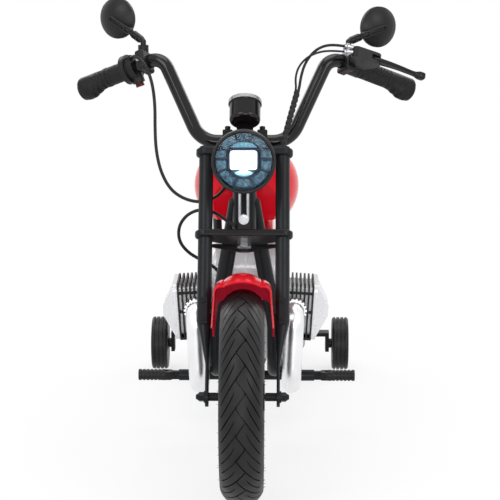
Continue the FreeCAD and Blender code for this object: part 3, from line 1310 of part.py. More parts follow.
def lamp_frame():
    """The headlight's axis is local Z, from its face towards the rear."""
    return FreeCAD.Placement(at(0, LAMP_FACE_BACK, LAMP_HEIGHT), FreeCAD.Rotation(AXIS_Z, AXIS_Y))


def lamp_outline(inset, start):
    """Half a bowl with a straight rim and a rounded back, to be spun about local Z."""
    end = LAMP_RIM_LENGTH + LAMP_BOWL_LENGTH - inset
    rim = LAMP_RADIUS - inset
    bowl = LAMP_BOWL_END_RADIUS - inset
    middle = FreeCAD.Vector((rim + bowl) / 2 + inset + LAMP_RIM_WALL, 0, (LAMP_RIM_LENGTH + end) / 2)
    corners = [FreeCAD.Vector(0, 0, start), FreeCAD.Vector(rim, 0, start),
               FreeCAD.Vector(rim, 0, LAMP_RIM_LENGTH)]
    shoulder = FreeCAD.Vector(bowl, 0, end)
    edges = [Part.LineSegment(corners[0], corners[1]), Part.LineSegment(corners[1], corners[2]),
             Part.Arc(corners[2], middle, shoulder), Part.LineSegment(shoulder, FreeCAD.Vector(0, 0, end)),
             Part.LineSegment(FreeCAD.Vector(0, 0, end), corners[0])]
    face = Part.Face(Part.Wire([edge.toShape() for edge in edges]))
    return face.revolve(ORIGIN, AXIS_Z, 360)


def headlight_housing():
    """A bowl with a gland for the throttle's lead."""
    bowl = moved(lamp_outline(0, 0), lamp_frame())
    hollow = moved(lamp_outline(LAMP_WALL, -OVERRUN), lamp_frame())
    end = at(*THROTTLE_CABLE_ROUTE[-1])
    inward = unit(end - at(*THROTTLE_CABLE_ROUTE[-2]))
    gland = rod(end, end + inward * (LAMP_BOWL_END_RADIUS + LAMP_WALL), THROTTLE_CABLE_RADIUS * 2)
    return fused(bowl, gland).cut(hollow)


def headlight_lens():
    base = AXIS_Z * LENS_RECESS
    return moved(Part.makeCylinder(LAMP_RADIUS - LAMP_WALL, LENS_THICKNESS, base, AXIS_Z), lamp_frame())


def headlight_mask():
    """The dark disc behind the lens with the lamp unit standing through its middle."""
    floor = LENS_RECESS + LENS_THICKNESS + LAMP_UNIT_DEPTH / 2
    disc = Part.makeCylinder(LAMP_RADIUS - LAMP_WALL, LAMP_WALL, AXIS_Z * floor, AXIS_Z)
    front = LENS_RECESS + LENS_THICKNESS + SEAT_GAP
    unit_box = box(span(0, LAMP_UNIT_WIDTH), span(0, LAMP_UNIT_HEIGHT), (front, front + LAMP_UNIT_DEPTH))
    return moved(fused(disc, unit_box), lamp_frame())


def headlight_bracket(stem):
    """A hairpin of bright wire from the lamp's underside to a bolted boss."""
    boss_front = HAIRPIN_BOLT_BACK - HAIRPIN_BOSS_THICKNESS
    middle = HAIRPIN_BOLT_BACK - HAIRPIN_BOSS_THICKNESS / 2
    boss = Part.makeCylinder(HAIRPIN_BOSS_RADIUS, HAIRPIN_BOSS_THICKNESS,
                             at(0, boss_front, HAIRPIN_BOLT_HEIGHT), AXIS_Y)
    wires = []
    for x in span(0, HAIRPIN_SPACING):
        wires.append(rod(at(x, middle, HAIRPIN_BOLT_HEIGHT), at(x, middle, LAMP_HEIGHT), HAIRPIN_WIRE_RADIUS))
    bowl = moved(lamp_outline(0, -OVERRUN), lamp_frame())
    bracket = fused(boss, *wires).cut(bowl).cut(stem)
    return max(bracket.Solids, key=lambda piece: piece.Volume)


def bar_middle():
    return FreeCAD.Vector(0, BAR_BEHIND_STEM, UPPER_CLAMP_TOP + BAR_RISE)


def bar_end():
    return at(BAR_END_X, BAR_END_BACK, BAR_END_Z)


def bar_top_corner():
    return at(BAR_TOP_CORNER_X, BAR_TOP_CORNER_BACK, BAR_TOP_CORNER_Z)


def handlebar():
    low = raked_point(BAR_LOW_CORNER_X, bar_middle().y, bar_middle().z)
    half = [low, bar_top_corner(), bar_end()]
    other = [FreeCAD.Vector(-point.x, point.y, point.z) for point in reversed(half)]
    bends = [BAR_TOP_BEND, BAR_LOW_BEND, BAR_LOW_BEND, BAR_TOP_BEND]
    return tube(other + half, bends, BAR_RADIUS)


def bar_cutter(radius):
    """A straight cutter along the middle of the handlebar, in the steering's frame."""
    start = bar_middle() - AXIS_X * BAR_LOW_CORNER_X
    return Part.makeCylinder(radius, BAR_LOW_CORNER_X * 2, start, AXIS_X)


def bar_clamps():
    clamps = []
    for x in span(0, RISER_SPACING):
        top = bar_middle().z + RISER_CAP
        block = box(span(x, RISER_WIDTH), span(BAR_BEHIND_STEM, RISER_DEPTH), (UPPER_CLAMP_TOP, top))
        edges = [e for e in block.Edges if e.BoundBox.ZMin > UPPER_CLAMP_TOP]
        block = block.makeFillet(CLAMP_EDGE_ROUND, edges)
        heads = []
        for y in span(BAR_BEHIND_STEM, RISER_BOLT_PITCH):
            base = FreeCAD.Vector(x, y, top)
            heads.append(Part.makeCylinder(RISER_BOLT_RADIUS, RISER_BOLT_HEAD, base, AXIS_Z))
        clamps.append(raked(fused(block, *heads).cut(bar_cutter(BAR_RADIUS))))
    return group(*clamps)


def pod_middle():
    """The pod's middle, over the bar and a little ahead of it."""
    bar = raked_point(0, bar_middle().y, bar_middle().z)
    return bar + AXIS_Z * POD_ABOVE_BAR - AXIS_Y * POD_AHEAD_OF_BAR


def pod_frame():
    """The pod's axis is local Z, towards the rider."""
    tilt = math.radians(POD_TILT)
    toward = FreeCAD.Vector(0, math.cos(tilt), math.sin(tilt))
    base = pod_middle() - toward * (POD_LENGTH / 2)
    return FreeCAD.Placement(base, FreeCAD.Rotation(AXIS_Z, toward))


def gauge_pod():
    """A cup on a foot that clips on the handlebar, with its glass."""
    cup = Part.makeCylinder(POD_RADIUS, POD_LENGTH, ORIGIN, AXIS_Z)
    cup = cup.makeFillet(POD_ROUND, [cup.Edges[2]])
    cup = moved(cup, pod_frame())
    middle = steering_placement().inverse().multVec(pod_middle())
    circles = [(BAR_BEHIND_STEM, bar_middle().z, BAR_RADIUS + POD_WALL),
               (middle.y, middle.z, POD_FOOT_DEPTH / 2)]
    start = -POD_FOOT_WIDTH / 2
    foot = hull_face(circles, lambda y, z: FreeCAD.Vector(start, y, z)).extrude(AXIS_X * POD_FOOT_WIDTH)
    inner = POD_RADIUS - POD_WALL
    recess = Part.makeCylinder(inner, POD_LENGTH, AXIS_Z * (POD_LENGTH - POD_GLASS - POD_WALL), AXIS_Z)
    body = fused(cup, raked(foot)).cut(raked(bar_cutter(BAR_RADIUS))).cut(moved(recess, pod_frame()))
    glass = Part.makeCylinder(inner, POD_GLASS, AXIS_Z * (POD_LENGTH - POD_GLASS - POD_WALL), AXIS_Z)
    return group(body, moved(glass, pod_frame()))


def gauge_bezel():
    inner = POD_RADIUS - POD_WALL * 2
    shell = ring(BEZEL_RADIUS, inner, BEZEL_LENGTH, AXIS_Z * (POD_LENGTH - BEZEL_LENGTH / 2), AXIS_Z)
    seat = Part.makeCylinder(POD_RADIUS, BEZEL_LENGTH, AXIS_Z * (POD_LENGTH - BEZEL_LENGTH), AXIS_Z)
    return moved(shell.cut(seat), pod_frame())


def hand_frame():
    """The left hand's frame: X inwards along the bar from its end, Y to the lever, Z up."""
    inward = unit(bar_top_corner() - bar_end())
    rise = math.radians(HAND_RISE)
    toward = FreeCAD.Vector(0, -math.cos(rise), math.sin(rise))
    toward = unit(toward - inward * toward.dot(inward))
    up = inward.cross(toward)
    end = bar_end()
    return FreeCAD.Placement(FreeCAD.Matrix(inward.x, toward.x, up.x, end.x, inward.y, toward.y, up.y, end.y,
                                            inward.z, toward.z, up.z, end.z, 0, 0, 0, 1))


def in_hand(shape):
    return moved(shape, hand_frame())


def bar_hole(radius):
    return Part.makeCylinder(radius, BAR_END_X, ORIGIN, AXIS_X)


def grip(length):
    """A round grip with a closed end and a palm wing below its outer end."""
    sleeve = Part.makeCylinder(GRIP_RADIUS, length + GRIP_END_CAP, AXIS_X * -GRIP_END_CAP, AXIS_X)
    lobe = GRIP_RADIUS / 2
    low = lobe - GRIP_WING_REACH
    circles = [(lobe - GRIP_END_CAP, low, lobe), (GRIP_WING_LENGTH / 2, low, lobe),
               (GRIP_WING_LENGTH, 0, lobe), (lobe - GRIP_END_CAP, 0, lobe)]
    start = -GRIP_RADIUS * GRIP_WING_SHARE
    wing = hull_face(circles, lambda x, z: FreeCAD.Vector(x, start, z)).extrude(AXIS_Y * (start * -2))
    wing = wing.makeFillet(GRIP_END_CAP / 2, wing.Edges)
    return in_hand(fused(sleeve, wing).cut(bar_hole(BAR_RADIUS)))


def throttle_sleeve():
    """The ribbed inner part of the right grip that twists on the bar."""
    start = FIXED_GRIP_LENGTH + SIDE_GAP
    end = start + SLEEVE_LENGTH
    body = Part.makeCylinder(GRIP_RADIUS, SLEEVE_LENGTH, AXIS_X * start, AXIS_X)
    ribs = []
    for index in range(SLEEVE_RIB_COUNT):
        angle = math.pi * 2 / SLEEVE_RIB_COUNT * index
        middle = FreeCAD.Vector(0, math.cos(angle), math.sin(angle)) * GRIP_RADIUS
        ribs.append(rod(middle + AXIS_X * start, middle + AXIS_X * end, SLEEVE_RIB_HEIGHT))
    return mirrored(in_hand(fused(body, *ribs).cut(bar_hole(BAR_RADIUS + RUNNING_FIT))))


def throttle_start():
    return FIXED_GRIP_LENGTH + SLEEVE_LENGTH + SIDE_GAP * 2


def button_way():
    """The push button points straight down from the middle of the throttle housing."""
    down = hand_frame().Rotation.inverted().multVec(-AXIS_Z)
    return unit(FreeCAD.Vector(0, down.y, down.z))


def button_middle():
    """The place on the bar's axis under the push button."""
    flange_end = throttle_start() + THROTTLE_FLANGE_LENGTH
    return AXIS_X * ((flange_end + throttle_start() + THROTTLE_BODY_LENGTH) / 2)


def button_floor():
    return THROTTLE_BODY_RADIUS - BUTTON_LENGTH / 2


def throttle_housing():
    start = throttle_start()
    body_radius = THROTTLE_BODY_RADIUS - THROTTLE_FLANGE_LENGTH / 2
    body = Part.makeCylinder(body_radius, THROTTLE_BODY_LENGTH, AXIS_X * start, AXIS_X)
    flange = Part.makeCylinder(THROTTLE_BODY_RADIUS, THROTTLE_FLANGE_LENGTH, AXIS_X * start, AXIS_X)
    middle = button_middle()
    boss_end = middle + button_way() * (THROTTLE_BODY_RADIUS + BUTTON_TRAVEL)
    boss = rod(middle, boss_end, BUTTON_RADIUS + POD_WALL)
    pocket = rod(middle + button_way() * button_floor(), boss_end + button_way() * OVERRUN,
                 BUTTON_RADIUS + SEAT_GAP)
    shell = fused(body, flange, boss).cut(pocket).cut(bar_hole(BAR_RADIUS))
    shell = mirrored(in_hand(shell))
    lead = at(*THROTTLE_CABLE_ROUTE[0])
    outward = unit(lead - at(*THROTTLE_CABLE_ROUTE[1]))
    gland = rod(lead, lead + outward * THROTTLE_BODY_RADIUS, THROTTLE_CABLE_RADIUS * 2)
    bar = mirrored(in_hand(bar_hole(BAR_RADIUS)))
    return fused(shell, gland.cut(bar))


def throttle_button():
    floor = button_middle() + button_way() * (button_floor() + BUTTON_TRAVEL + SEAT_GAP)
    return mirrored(in_hand(rod(floor, floor + button_way() * BUTTON_LENGTH, BUTTON_RADIUS)))


def lever_perch():
    """The lever's carrier on the bar: clamp ring, arm with a slot and pin, and a cap on top."""
    start = GRIP_LENGTH + SIDE_GAP
    ring_body = Part.makeCylinder(PERCH_RADIUS, PERCH_LENGTH, AXIS_X * start, AXIS_X)
    middle = start + PERCH_LENGTH / 2
    pivot_round = LEVER_EYE_RADIUS + POD_WALL
    circles = [(middle, 0, PERCH_LENGTH / 2),
               (MIRROR_CLAMP_START + MIRROR_CLAMP_LENGTH, LEVER_PIVOT_OUT, LEVER_EYE_RADIUS),
               (LEVER_PIVOT_ALONG, LEVER_PIVOT_OUT, pivot_round)]
    arm = hull_face(circles, flat_plane).extrude(AXIS_Z * PERCH_THICKNESS)
    arm.translate(AXIS_Z * (-PERCH_THICKNESS / 2))
    half_slot = LEVER_THICKNESS / 2 + SIDE_GAP
    reach = LEVER_EYE_RADIUS + SIDE_GAP * 2
    slot_floor = LEVER_PIVOT_OUT - reach - LEVER_ROOT_RADIUS
    slot = box((0, LEVER_PIVOT_ALONG + reach), (slot_floor, LEVER_PIVOT_OUT + pivot_round * 2),
               (-half_slot, half_slot))
    pin_foot = FreeCAD.Vector(LEVER_PIVOT_ALONG, LEVER_PIVOT_OUT, -PERCH_THICKNESS / 2)
    pin = Part.makeCylinder(LEVER_PIN_RADIUS, PERCH_THICKNESS, pin_foot, AXIS_Z)
    cap_x = span(middle, PERCH_CAP_LENGTH)
    cap_y = span(LEVER_PIVOT_OUT - PERCH_CAP_WIDTH / 2, PERCH_CAP_WIDTH)
    cap = box(cap_x, cap_y, (0, PERCH_THICKNESS / 2 + PERCH_CAP_HEIGHT))
    cap = cap.makeFillet(CLAMP_EDGE_ROUND, cap.Edges)
    clamp_space = mirror_clamp_block(SIDE_GAP).fuse(mirror_screw(SIDE_GAP))
    grip_space = Part.makeCylinder(GRIP_RADIUS + SIDE_GAP, start, ORIGIN, AXIS_X)
    body = fused(ring_body, arm, cap).cut(slot).cut(clamp_space).cut(grip_space).cut(bar_hole(BAR_RADIUS))
    return in_hand(fused(body, pin))


def brake_lever():
    """A curved blade with a ball end, on the perch's pin."""
    circles = [(LEVER_PIVOT_ALONG, LEVER_PIVOT_OUT, LEVER_EYE_RADIUS),
               (LEVER_PIVOT_ALONG - LEVER_EYE_RADIUS * 2, LEVER_PIVOT_OUT, LEVER_ROOT_RADIUS)]
    root = hull_face(circles, flat_plane).extrude(AXIS_Z * LEVER_THICKNESS)
    tip = FreeCAD.Vector(LEVER_TIP_ALONG, LEVER_TIP_OUT, 0)
    blade_circles = [(LEVER_PIVOT_ALONG - LEVER_EYE_RADIUS * 2, LEVER_PIVOT_OUT, LEVER_ROOT_RADIUS),
                     (LEVER_TIP_ALONG, LEVER_TIP_OUT, LEVER_TIP_RADIUS / 2)]
    blade = hull_face(blade_circles, flat_plane).extrude(AXIS_Z * LEVER_THICKNESS)
    flat = fused(root, blade)
    flat.translate(AXIS_Z * (-LEVER_THICKNESS / 2))
    ball = Part.makeSphere(LEVER_TIP_RADIUS, tip)
    hole = Part.makeCylinder(LEVER_PIN_RADIUS + RUNNING_FIT, PERCH_THICKNESS * 2,
                             FreeCAD.Vector(LEVER_PIVOT_ALONG, LEVER_PIVOT_OUT, -PERCH_THICKNESS), AXIS_Z)
    return in_hand(fused(flat, ball).cut(hole))


def mirror_clamp_block(grow):
    y = span(BAR_BEHIND_STEM, MIRROR_CLAMP_DEPTH + grow * 2)
    z = span(0, MIRROR_CLAMP_WIDTH + grow * 2)
    x = (MIRROR_CLAMP_START - grow, MIRROR_CLAMP_START + MIRROR_CLAMP_LENGTH + grow)
    return box(x, y, z)


def mirror_post_foot():
    """Where the left mirror's post enters its clamp."""
    along = MIRROR_CLAMP_START + MIRROR_CLAMP_LENGTH / 2
    return hand_frame().multVec(FreeCAD.Vector(along, BAR_BEHIND_STEM, MIRROR_CLAMP_WIDTH / 2))


def mirror_clamp():
    block = mirror_clamp_block(0)
    block = in_hand(block.makeFillet(MIRROR_CLAMP_ROUND, block.Edges).cut(bar_hole(BAR_RADIUS)))
    foot = mirror_post_foot()
    top = foot + AXIS_Z * MIRROR_POST_SOCKET
    boss = rod(foot - AXIS_Z * MIRROR_CLAMP_ROUND, top, MIRROR_POST_RADIUS + MIRROR_CLAMP_ROUND)
    socket = rod(foot, top + AXIS_Z * OVERRUN, MIRROR_POST_RADIUS + RUNNING_FIT)
    return fused(block, boss.cut(in_hand(bar_hole(BAR_RADIUS)))).cut(socket)


def mirror_screw(grow):
    """The head of a mirror clamp's screw in the hand's frame, or a space round it."""
    along = MIRROR_CLAMP_START + MIRROR_CLAMP_LENGTH / 2
    base = FreeCAD.Vector(along, BAR_BEHIND_STEM + MIRROR_CLAMP_DEPTH / 2, 0)
    return Part.makeCylinder(MIRROR_SCREW_RADIUS + grow, MIRROR_SCREW_HEAD + grow, base, AXIS_Y)


def mirror_elbow():
    return mirror_post_foot() + AXIS_Z * (MIRROR_POST_SOCKET + MIRROR_POST_HEIGHT)


def mirror_way(rise):
    """The mirror's arm runs along the glass, outwards, back and up."""
    angle = math.radians(rise)
    turn = math.radians(MIRROR_TURN)
    return FreeCAD.Vector(math.cos(angle) * math.cos(turn), math.cos(angle) * math.sin(turn), math.sin(angle))


def mirror_arm(rise):
    """The left mirror's bent arm: post, elbow, slanting rod and a pin for the head."""
    elbow = mirror_elbow()
    end = elbow + mirror_way(rise) * MIRROR_ARM_LENGTH
    post = rod(mirror_post_foot() + AXIS_Z * SEAT_GAP, elbow, MIRROR_POST_RADIUS)
    pin = rod(end, end + mirror_way(rise) * MIRROR_PIN_LENGTH, MIRROR_PIN_RADIUS)
    return fused(post, Part.makeSphere(MIRROR_POST_RADIUS, elbow), rod(elbow, end, MIRROR_ARM_RADIUS), pin)


def mirror_head(rise):
    """The left mirror: a domed shell with a spine over the arm's pin, and the glass."""
    way = mirror_way(rise)
    start = mirror_elbow() + way * (MIRROR_ARM_LENGTH + SIDE_GAP)
    spine = rod(start, start + way * MIRROR_SPINE_LENGTH, MIRROR_SPINE_RADIUS)
    spine = fused(spine, Part.makeSphere(MIRROR_SPINE_RADIUS, start + way * MIRROR_SPINE_LENGTH))
    hole = rod(start - way * OVERRUN, start + way * MIRROR_PIN_LENGTH, MIRROR_PIN_RADIUS + RUNNING_FIT)
    turn = math.radians(MIRROR_TURN)
    facing = FreeCAD.Vector(-math.sin(turn), math.cos(turn), 0)
    middle = start + way * MIRROR_SPINE_LENGTH + facing * (MIRROR_DOME * MIRROR_SINK_SHARE)
    bulge = FreeCAD.Vector(MIRROR_RADIUS * MIRROR_BULGE_SHARES[0], 0, -MIRROR_DOME * MIRROR_BULGE_SHARES[1])
    back = AXIS_Z * -MIRROR_DOME
    edge = AXIS_X * MIRROR_RADIUS
    front = AXIS_Z * MIRROR_RIM
    profile = [Part.Arc(back, bulge, edge), Part.LineSegment(edge, edge + front),
               Part.LineSegment(edge + front, front), Part.LineSegment(front, back)]
    dome = Part.Face(Part.Wire([edge.toShape() for edge in profile])).revolve(ORIGIN, AXIS_Z, 360)
    glass_floor = AXIS_Z * (MIRROR_RIM - MIRROR_GLASS)
    glass = Part.makeCylinder(MIRROR_RADIUS - MIRROR_GLASS, MIRROR_GLASS, glass_floor, AXIS_Z)
    frame = FreeCAD.Placement(middle, FreeCAD.Rotation(AXIS_Z, facing))
    shell = fused(moved(dome.cut(glass), frame), spine.cut(moved(glass, frame))).cut(hole)
    return group(max(shell.Solids, key=lambda piece: piece.Volume), moved(glass, frame))


def cord(name, route, radius):
    """A tube along a hand-laid route, each bend as large as its runs allow."""
    points = [at(*place) for place in route]
    bends = []
    for before, corner, after in zip(points, points[1:], points[2:]):
        run = min((corner - before).Length, (after - corner).Length)
        turn = (corner - before).getAngle(after - corner)
        bends.append(CORD_BEND_SHARE * run / math.tan(turn / 2))
    solid = tube(points, bends, radius)
    expected = math.pi * radius ** 2 * rounded_path(points, bends).Length
    radii = ", ".join(f"{bend:.0f}" for bend in bends)
    print(f"{name}: bend radii {radii}; volume {solid.Volume / expected:.4f} of section times length")
    return solid


def cable_adjusters(perch):
    """Bright barrels where the brake's cable and the switch's wire leave the perch."""
    barrels = []
    for route in (BRAKE_CABLE_ROUTE, SWITCH_WIRE_ROUTE):
        lead = at(*route[0])
        outward = unit(lead - at(*route[1]))
        barrel = rod(lead, lead + outward * ADJUSTER_LENGTH, ADJUSTER_RADIUS)
        nut_base = lead + outward * ADJUSTER_RADIUS
        nut = Part.makeCylinder(ADJUSTER_NUT_RADIUS, ADJUSTER_RADIUS, nut_base, outward)
        barrels.append(fused(barrel, nut).cut(perch))
    return barrels


def cable_wrap():
    """A spiral wrap round both cables, shown by its ridges."""
    start = at(*WRAP_START)
    end = at(*WRAP_END)
    way = unit(end - start)
    pitch = (end - start).Length / WRAP_RIB_COUNT
    circles = []
    for index in range(WRAP_RIB_COUNT):
        for share, groove in zip(WRAP_RIDGE_SHARES, (WRAP_GROOVE, 0, 0, WRAP_GROOVE)):
            middle = start + way * (pitch * (index + share))
            circles.append(Part.Wire(Part.makeCircle(WRAP_RADIUS - groove, middle, way)))
    return Part.makeLoft(circles, True, True)


def fork_fasteners(perch):
    """Bright nuts, bolts, screws and adjusters on the steering."""
    nut = raked(hexagon(STEM_NUT_FLATS, STEM_NUT_HEIGHT, AXIS_Z * LOWER_CLAMP_FLOOR, -AXIS_Z))
    top_nut = raked(hexagon(STEM_NUT_FLATS, STEM_NUT_HEIGHT, AXIS_Z * UPPER_CLAMP_TOP, AXIS_Z))
    front = HAIRPIN_BOLT_BACK - HAIRPIN_BOSS_THICKNESS
    bolt_base = at(0, front, HAIRPIN_BOLT_HEIGHT)
    bolt = Part.makeCylinder(HAIRPIN_BOLT_RADIUS, HAIRPIN_BOLT_HEAD, bolt_base, BACK_TO_FRONT)
    screw = in_hand(mirror_screw(0))
    return group(nut, top_nut, bolt, screw, mirrored(screw), *pad_screws(), *cable_adjusters(perch))


def battery_pack():
    floor = CASE_FLOOR_Z + CASE_WALL
    rear = at(0, CASE_FRONT_BACK + CASE_LENGTH - CASE_CORNER, 0).y
    return box(span(0, BATTERY_WIDTH), (rear - BATTERY_LENGTH, rear), (floor, floor + BATTERY_HEIGHT))


def motor_controller():
    floor = CASE_FLOOR_Z + CASE_WALL + BATTERY_HEIGHT
    middle = at(0, CASE_FRONT_BACK + CASE_LENGTH / 2, 0).y
    return box(span(0, CONTROLLER_WIDTH), span(middle, CONTROLLER_LENGTH), (floor, floor + CONTROLLER_HEIGHT))


def build():
    """Every piece by its name, in place."""
    spine = frame_spine()
    cradle = cradle_tube(spine)
    cradles = group(cradle, mirrored(cradle))
    case = engine_case()
    fins = cylinder_fins()
    cover = valve_cover()
    pipe = exhaust()
    cap = tank_cap()
    strap = stabiliser_strap()
    bolt = stabiliser_bolt()
    pin = footpeg_pin()
    leg = fork_leg()
    stem = steering_stem()
    perch = lever_perch()
    clamp = mirror_clamp()
    stabiliser = stabiliser_wheel()
    peg = footpeg()
    return {
        "frame_spine": spine,
        "cradle_tubes": cradles,
        "rear_stays": rear_stays(),
        "headset_cups": headset_cups(),
        "engine_case_left": case,
        "engine_case_right": mirrored(case),
        "battery_pack": battery_pack(),
        "motor_controller": motor_controller(),
        "cylinder_fins": group(fins, mirrored(fins)),
        "valve_covers": group(cover, mirrored(cover)),
        "exhausts": group(pipe, mirrored(pipe)),
        "fuel_tank": fuel_tank(cap),
        "tank_cap": cap,
        "seat_pan": seat_pan(),
        "seat_cushion": seat_cushion(),
        "rear_fender": rear_fender(),
        "tail_light": tail_light(),
        "rear_axle": rear_axle(),
        "rear_brake": rear_brake(),
        "stabiliser_brackets": group(strap, mirrored(strap)),
        "footpeg_bar": footpeg_bar(cradles),
        "pivot_bolts": group(bolt, mirrored(bolt), pin, mirrored(pin)),
        "wiring_loop": cord("wiring_loop", LOOP_ROUTE, LOOP_RADIUS),
        "steering_stem": stem,
        "upper_clamp": upper_clamp(),
        "fork_legs": group(leg, mirrored(leg)),
        "front_axle": front_axle(),
        "front_fender": front_fender(),
        "fork_fasteners": fork_fasteners(perch),
        "headlight_housing": headlight_housing(),
        "headlight_lens": headlight_lens(),
        "headlight_mask": headlight_mask(),
        "headlight_bracket": headlight_bracket(stem),
        "handlebar": handlebar(),
        "bar_clamps": bar_clamps(),
        "gauge_pod": gauge_pod(),
        "gauge_bezel": gauge_bezel(),
        "grip_left": grip(GRIP_LENGTH),
        "grip_right": mirrored(grip(FIXED_GRIP_LENGTH)),
        "throttle_housing": throttle_housing(),
        "lever_perch": perch,
        "mirror_clamps": group(clamp, mirrored(clamp)),
        "throttle_cable": cord("throttle_cable", THROTTLE_CABLE_ROUTE, THROTTLE_CABLE_RADIUS),
        "brake_cables": group(cord("brake cable", BRAKE_CABLE_ROUTE, BRAKE_CABLE_RADIUS),
                              cord("switch wire", SWITCH_WIRE_ROUTE, SWITCH_WIRE_RADIUS)),
        "cable_wrap": cable_wrap(),
        "front_tyre": at_front_axle(tyre()),
        "front_wheel": at_front_axle(front_wheel()),
        "rear_tyre": at_rear_axle(tyre()),
        "rear_wheel": at_rear_axle(rear_wheel()),
        "stabiliser_wheel_left": stabiliser,
        "stabiliser_wheel_right": mirrored(stabiliser),
        "footpeg_left": peg,
        "footpeg_right": mirrored(peg),
        "brake_lever": brake_lever(),
        "throttle_sleeve": throttle_sleeve(),
        "throttle_button": throttle_button(),
        "mirror_arm_left": mirror_arm(MIRROR_ARM_RISE_LEFT),
        "mirror_arm_right": mirrored(mirror_arm(MIRROR_ARM_RISE_RIGHT)),
        "mirror_head_left": mirror_head(MIRROR_ARM_RISE_LEFT),
        "mirror_head_right": mirrored(mirror_head(MIRROR_ARM_RISE_RIGHT)),
    }


def main():
    os.makedirs("parts", exist_ok=True)
    for name, shape in build().items():
        print(name, len(shape.Solids), round(shape.Volume), shape.isValid())
        shape.exportStep(f"parts/{name}.step")


main()
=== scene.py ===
import math
import random

import bmesh
import bpy
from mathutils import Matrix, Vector
from mathutils.bvhtree import BVHTree


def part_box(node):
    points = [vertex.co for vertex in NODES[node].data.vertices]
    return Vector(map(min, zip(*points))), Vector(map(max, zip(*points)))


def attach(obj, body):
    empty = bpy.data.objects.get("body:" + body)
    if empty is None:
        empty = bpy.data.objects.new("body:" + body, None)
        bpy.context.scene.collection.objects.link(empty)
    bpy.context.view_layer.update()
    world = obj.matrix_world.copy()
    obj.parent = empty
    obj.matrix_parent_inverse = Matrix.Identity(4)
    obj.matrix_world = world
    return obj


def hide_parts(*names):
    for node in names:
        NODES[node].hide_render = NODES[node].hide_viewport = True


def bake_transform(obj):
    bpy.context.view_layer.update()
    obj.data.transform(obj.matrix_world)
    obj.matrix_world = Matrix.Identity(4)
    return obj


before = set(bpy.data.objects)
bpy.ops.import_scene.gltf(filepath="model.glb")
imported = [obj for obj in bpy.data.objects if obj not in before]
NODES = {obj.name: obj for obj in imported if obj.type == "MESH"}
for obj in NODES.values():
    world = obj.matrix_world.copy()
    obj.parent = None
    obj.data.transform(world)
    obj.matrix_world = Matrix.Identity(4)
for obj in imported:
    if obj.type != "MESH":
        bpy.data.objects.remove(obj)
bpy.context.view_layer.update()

SCENE = bpy.context.scene
MM = 0.001
FULL_TURN = 2 * math.pi
DRAWS = random.Random(7)


def middle(node):
    low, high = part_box(node)
    return (low + high) / 2


FRONT_AXLE = middle("front_tyre")
REAR_AXLE = middle("rear_tyre")


def at(x, back, z):
    """A point from its millimetres: x to the rider's left, back from the front axle, z up."""
    return Vector((x * MM, FRONT_AXLE.y + back * MM, z * MM))


def turns(steps, start=0.0):
    """Even angles round a full turn."""
    return [start + FULL_TURN * step / steps for step in range(steps)]


def evenly(start, end, count):
    """Even values from start to end, both included."""
    return [start + (end - start) * step / count for step in range(count + 1)]


def squared(turn, power):
    """Cosine and sine of an angle, pushed out so that a circle becomes a rounded square."""
    return [math.copysign(abs(value) ** power, value) for value in (math.cos(turn), math.sin(turn))]


def add_object(name, data):
    item = bpy.data.objects.new(name, data)
    SCENE.collection.objects.link(item)
    return item


# Materials

def set_inputs(tree, node, values):
    """Gives a node's inputs plain values, or links them to the outputs of other nodes."""
    for name, value in values.items():
        if isinstance(value, bpy.types.NodeSocket):
            tree.links.new(value, node.inputs[name])
        else:
            node.inputs[name].default_value = value


def add_node(tree, kind, values, **settings):
    node = tree.nodes.new(kind)
    for name, value in settings.items():
        setattr(node, name, value)
    set_inputs(tree, node, values)
    return node


def shade(tree, values):
    """Sets the inputs of a material's shader."""
    set_inputs(tree, tree.nodes["Principled BSDF"], values)


def base(tree, colour, roughness, metallic=0.0, coat=0.0, specular=0.5):
    shade(tree, {"Base Color": (*colour, 1.0), "Roughness": roughness, "Metallic": metallic,
                 "Coat Weight": coat, "Specular IOR Level": specular})


def noise(tree, scale, detail=4.0, stretch=(1, 1, 1)):
    """Noise fixed to the piece, with scale features to the metre."""
    place = tree.nodes.new("ShaderNodeTexCoord")
    turn = add_node(tree, "ShaderNodeMapping", {"Vector": place.outputs["Object"], "Scale": stretch})
    texture = add_node(tree, "ShaderNodeTexNoise", {
        "Vector": turn.outputs["Vector"], "Scale": scale, "Detail": detail})
    return texture.outputs["Fac"]


def cells(tree, scale):
    """Distance to the edges of cells, for grain in vinyl and facets in glass."""
    place = tree.nodes.new("ShaderNodeTexCoord")
    texture = add_node(tree, "ShaderNodeTexVoronoi", {
        "Vector": place.outputs["Object"], "Scale": scale}, feature="DISTANCE_TO_EDGE")
    return texture.outputs["Distance"]


def spread(tree, value, low, high, start=0.3, end=0.7):
    """Maps a value so that start becomes low and end becomes high."""
    ramp = add_node(tree, "ShaderNodeMapRange", {
        "Value": value, "From Min": start, "From Max": end, "To Min": low, "To Max": high})
    return ramp.outputs["Result"]


def combine(tree, operation, first, second):
    return add_node(tree, "ShaderNodeMath", {0: first, 1: second}, operation=operation).outputs[0]


def mix_colours(tree, share, first, second):
    ends = [(*colour, 1.0) if isinstance(colour, tuple) else colour for colour in (first, second)]
    values = {"Factor": share, 6: ends[0], 7: ends[1]}
    return add_node(tree, "ShaderNodeMix", values, data_type="RGBA").outputs[2]


def vary_roughness(tree, scale, low, high):
    shade(tree, {"Roughness": spread(tree, noise(tree, scale), low, high)})


def vary_colour(tree, scale, first, second):
    colour = mix_colours(tree, spread(tree, noise(tree, scale), 0.0, 1.0), first, second)
    shade(tree, {"Base Color": colour})
    return colour


def soft_edges(tree, radius):
    """A normal that rounds the edges by a radius in millimetres."""
    return add_node(tree, "ShaderNodeBevel", {"Radius": radius * MM}, samples=6).outputs["Normal"]


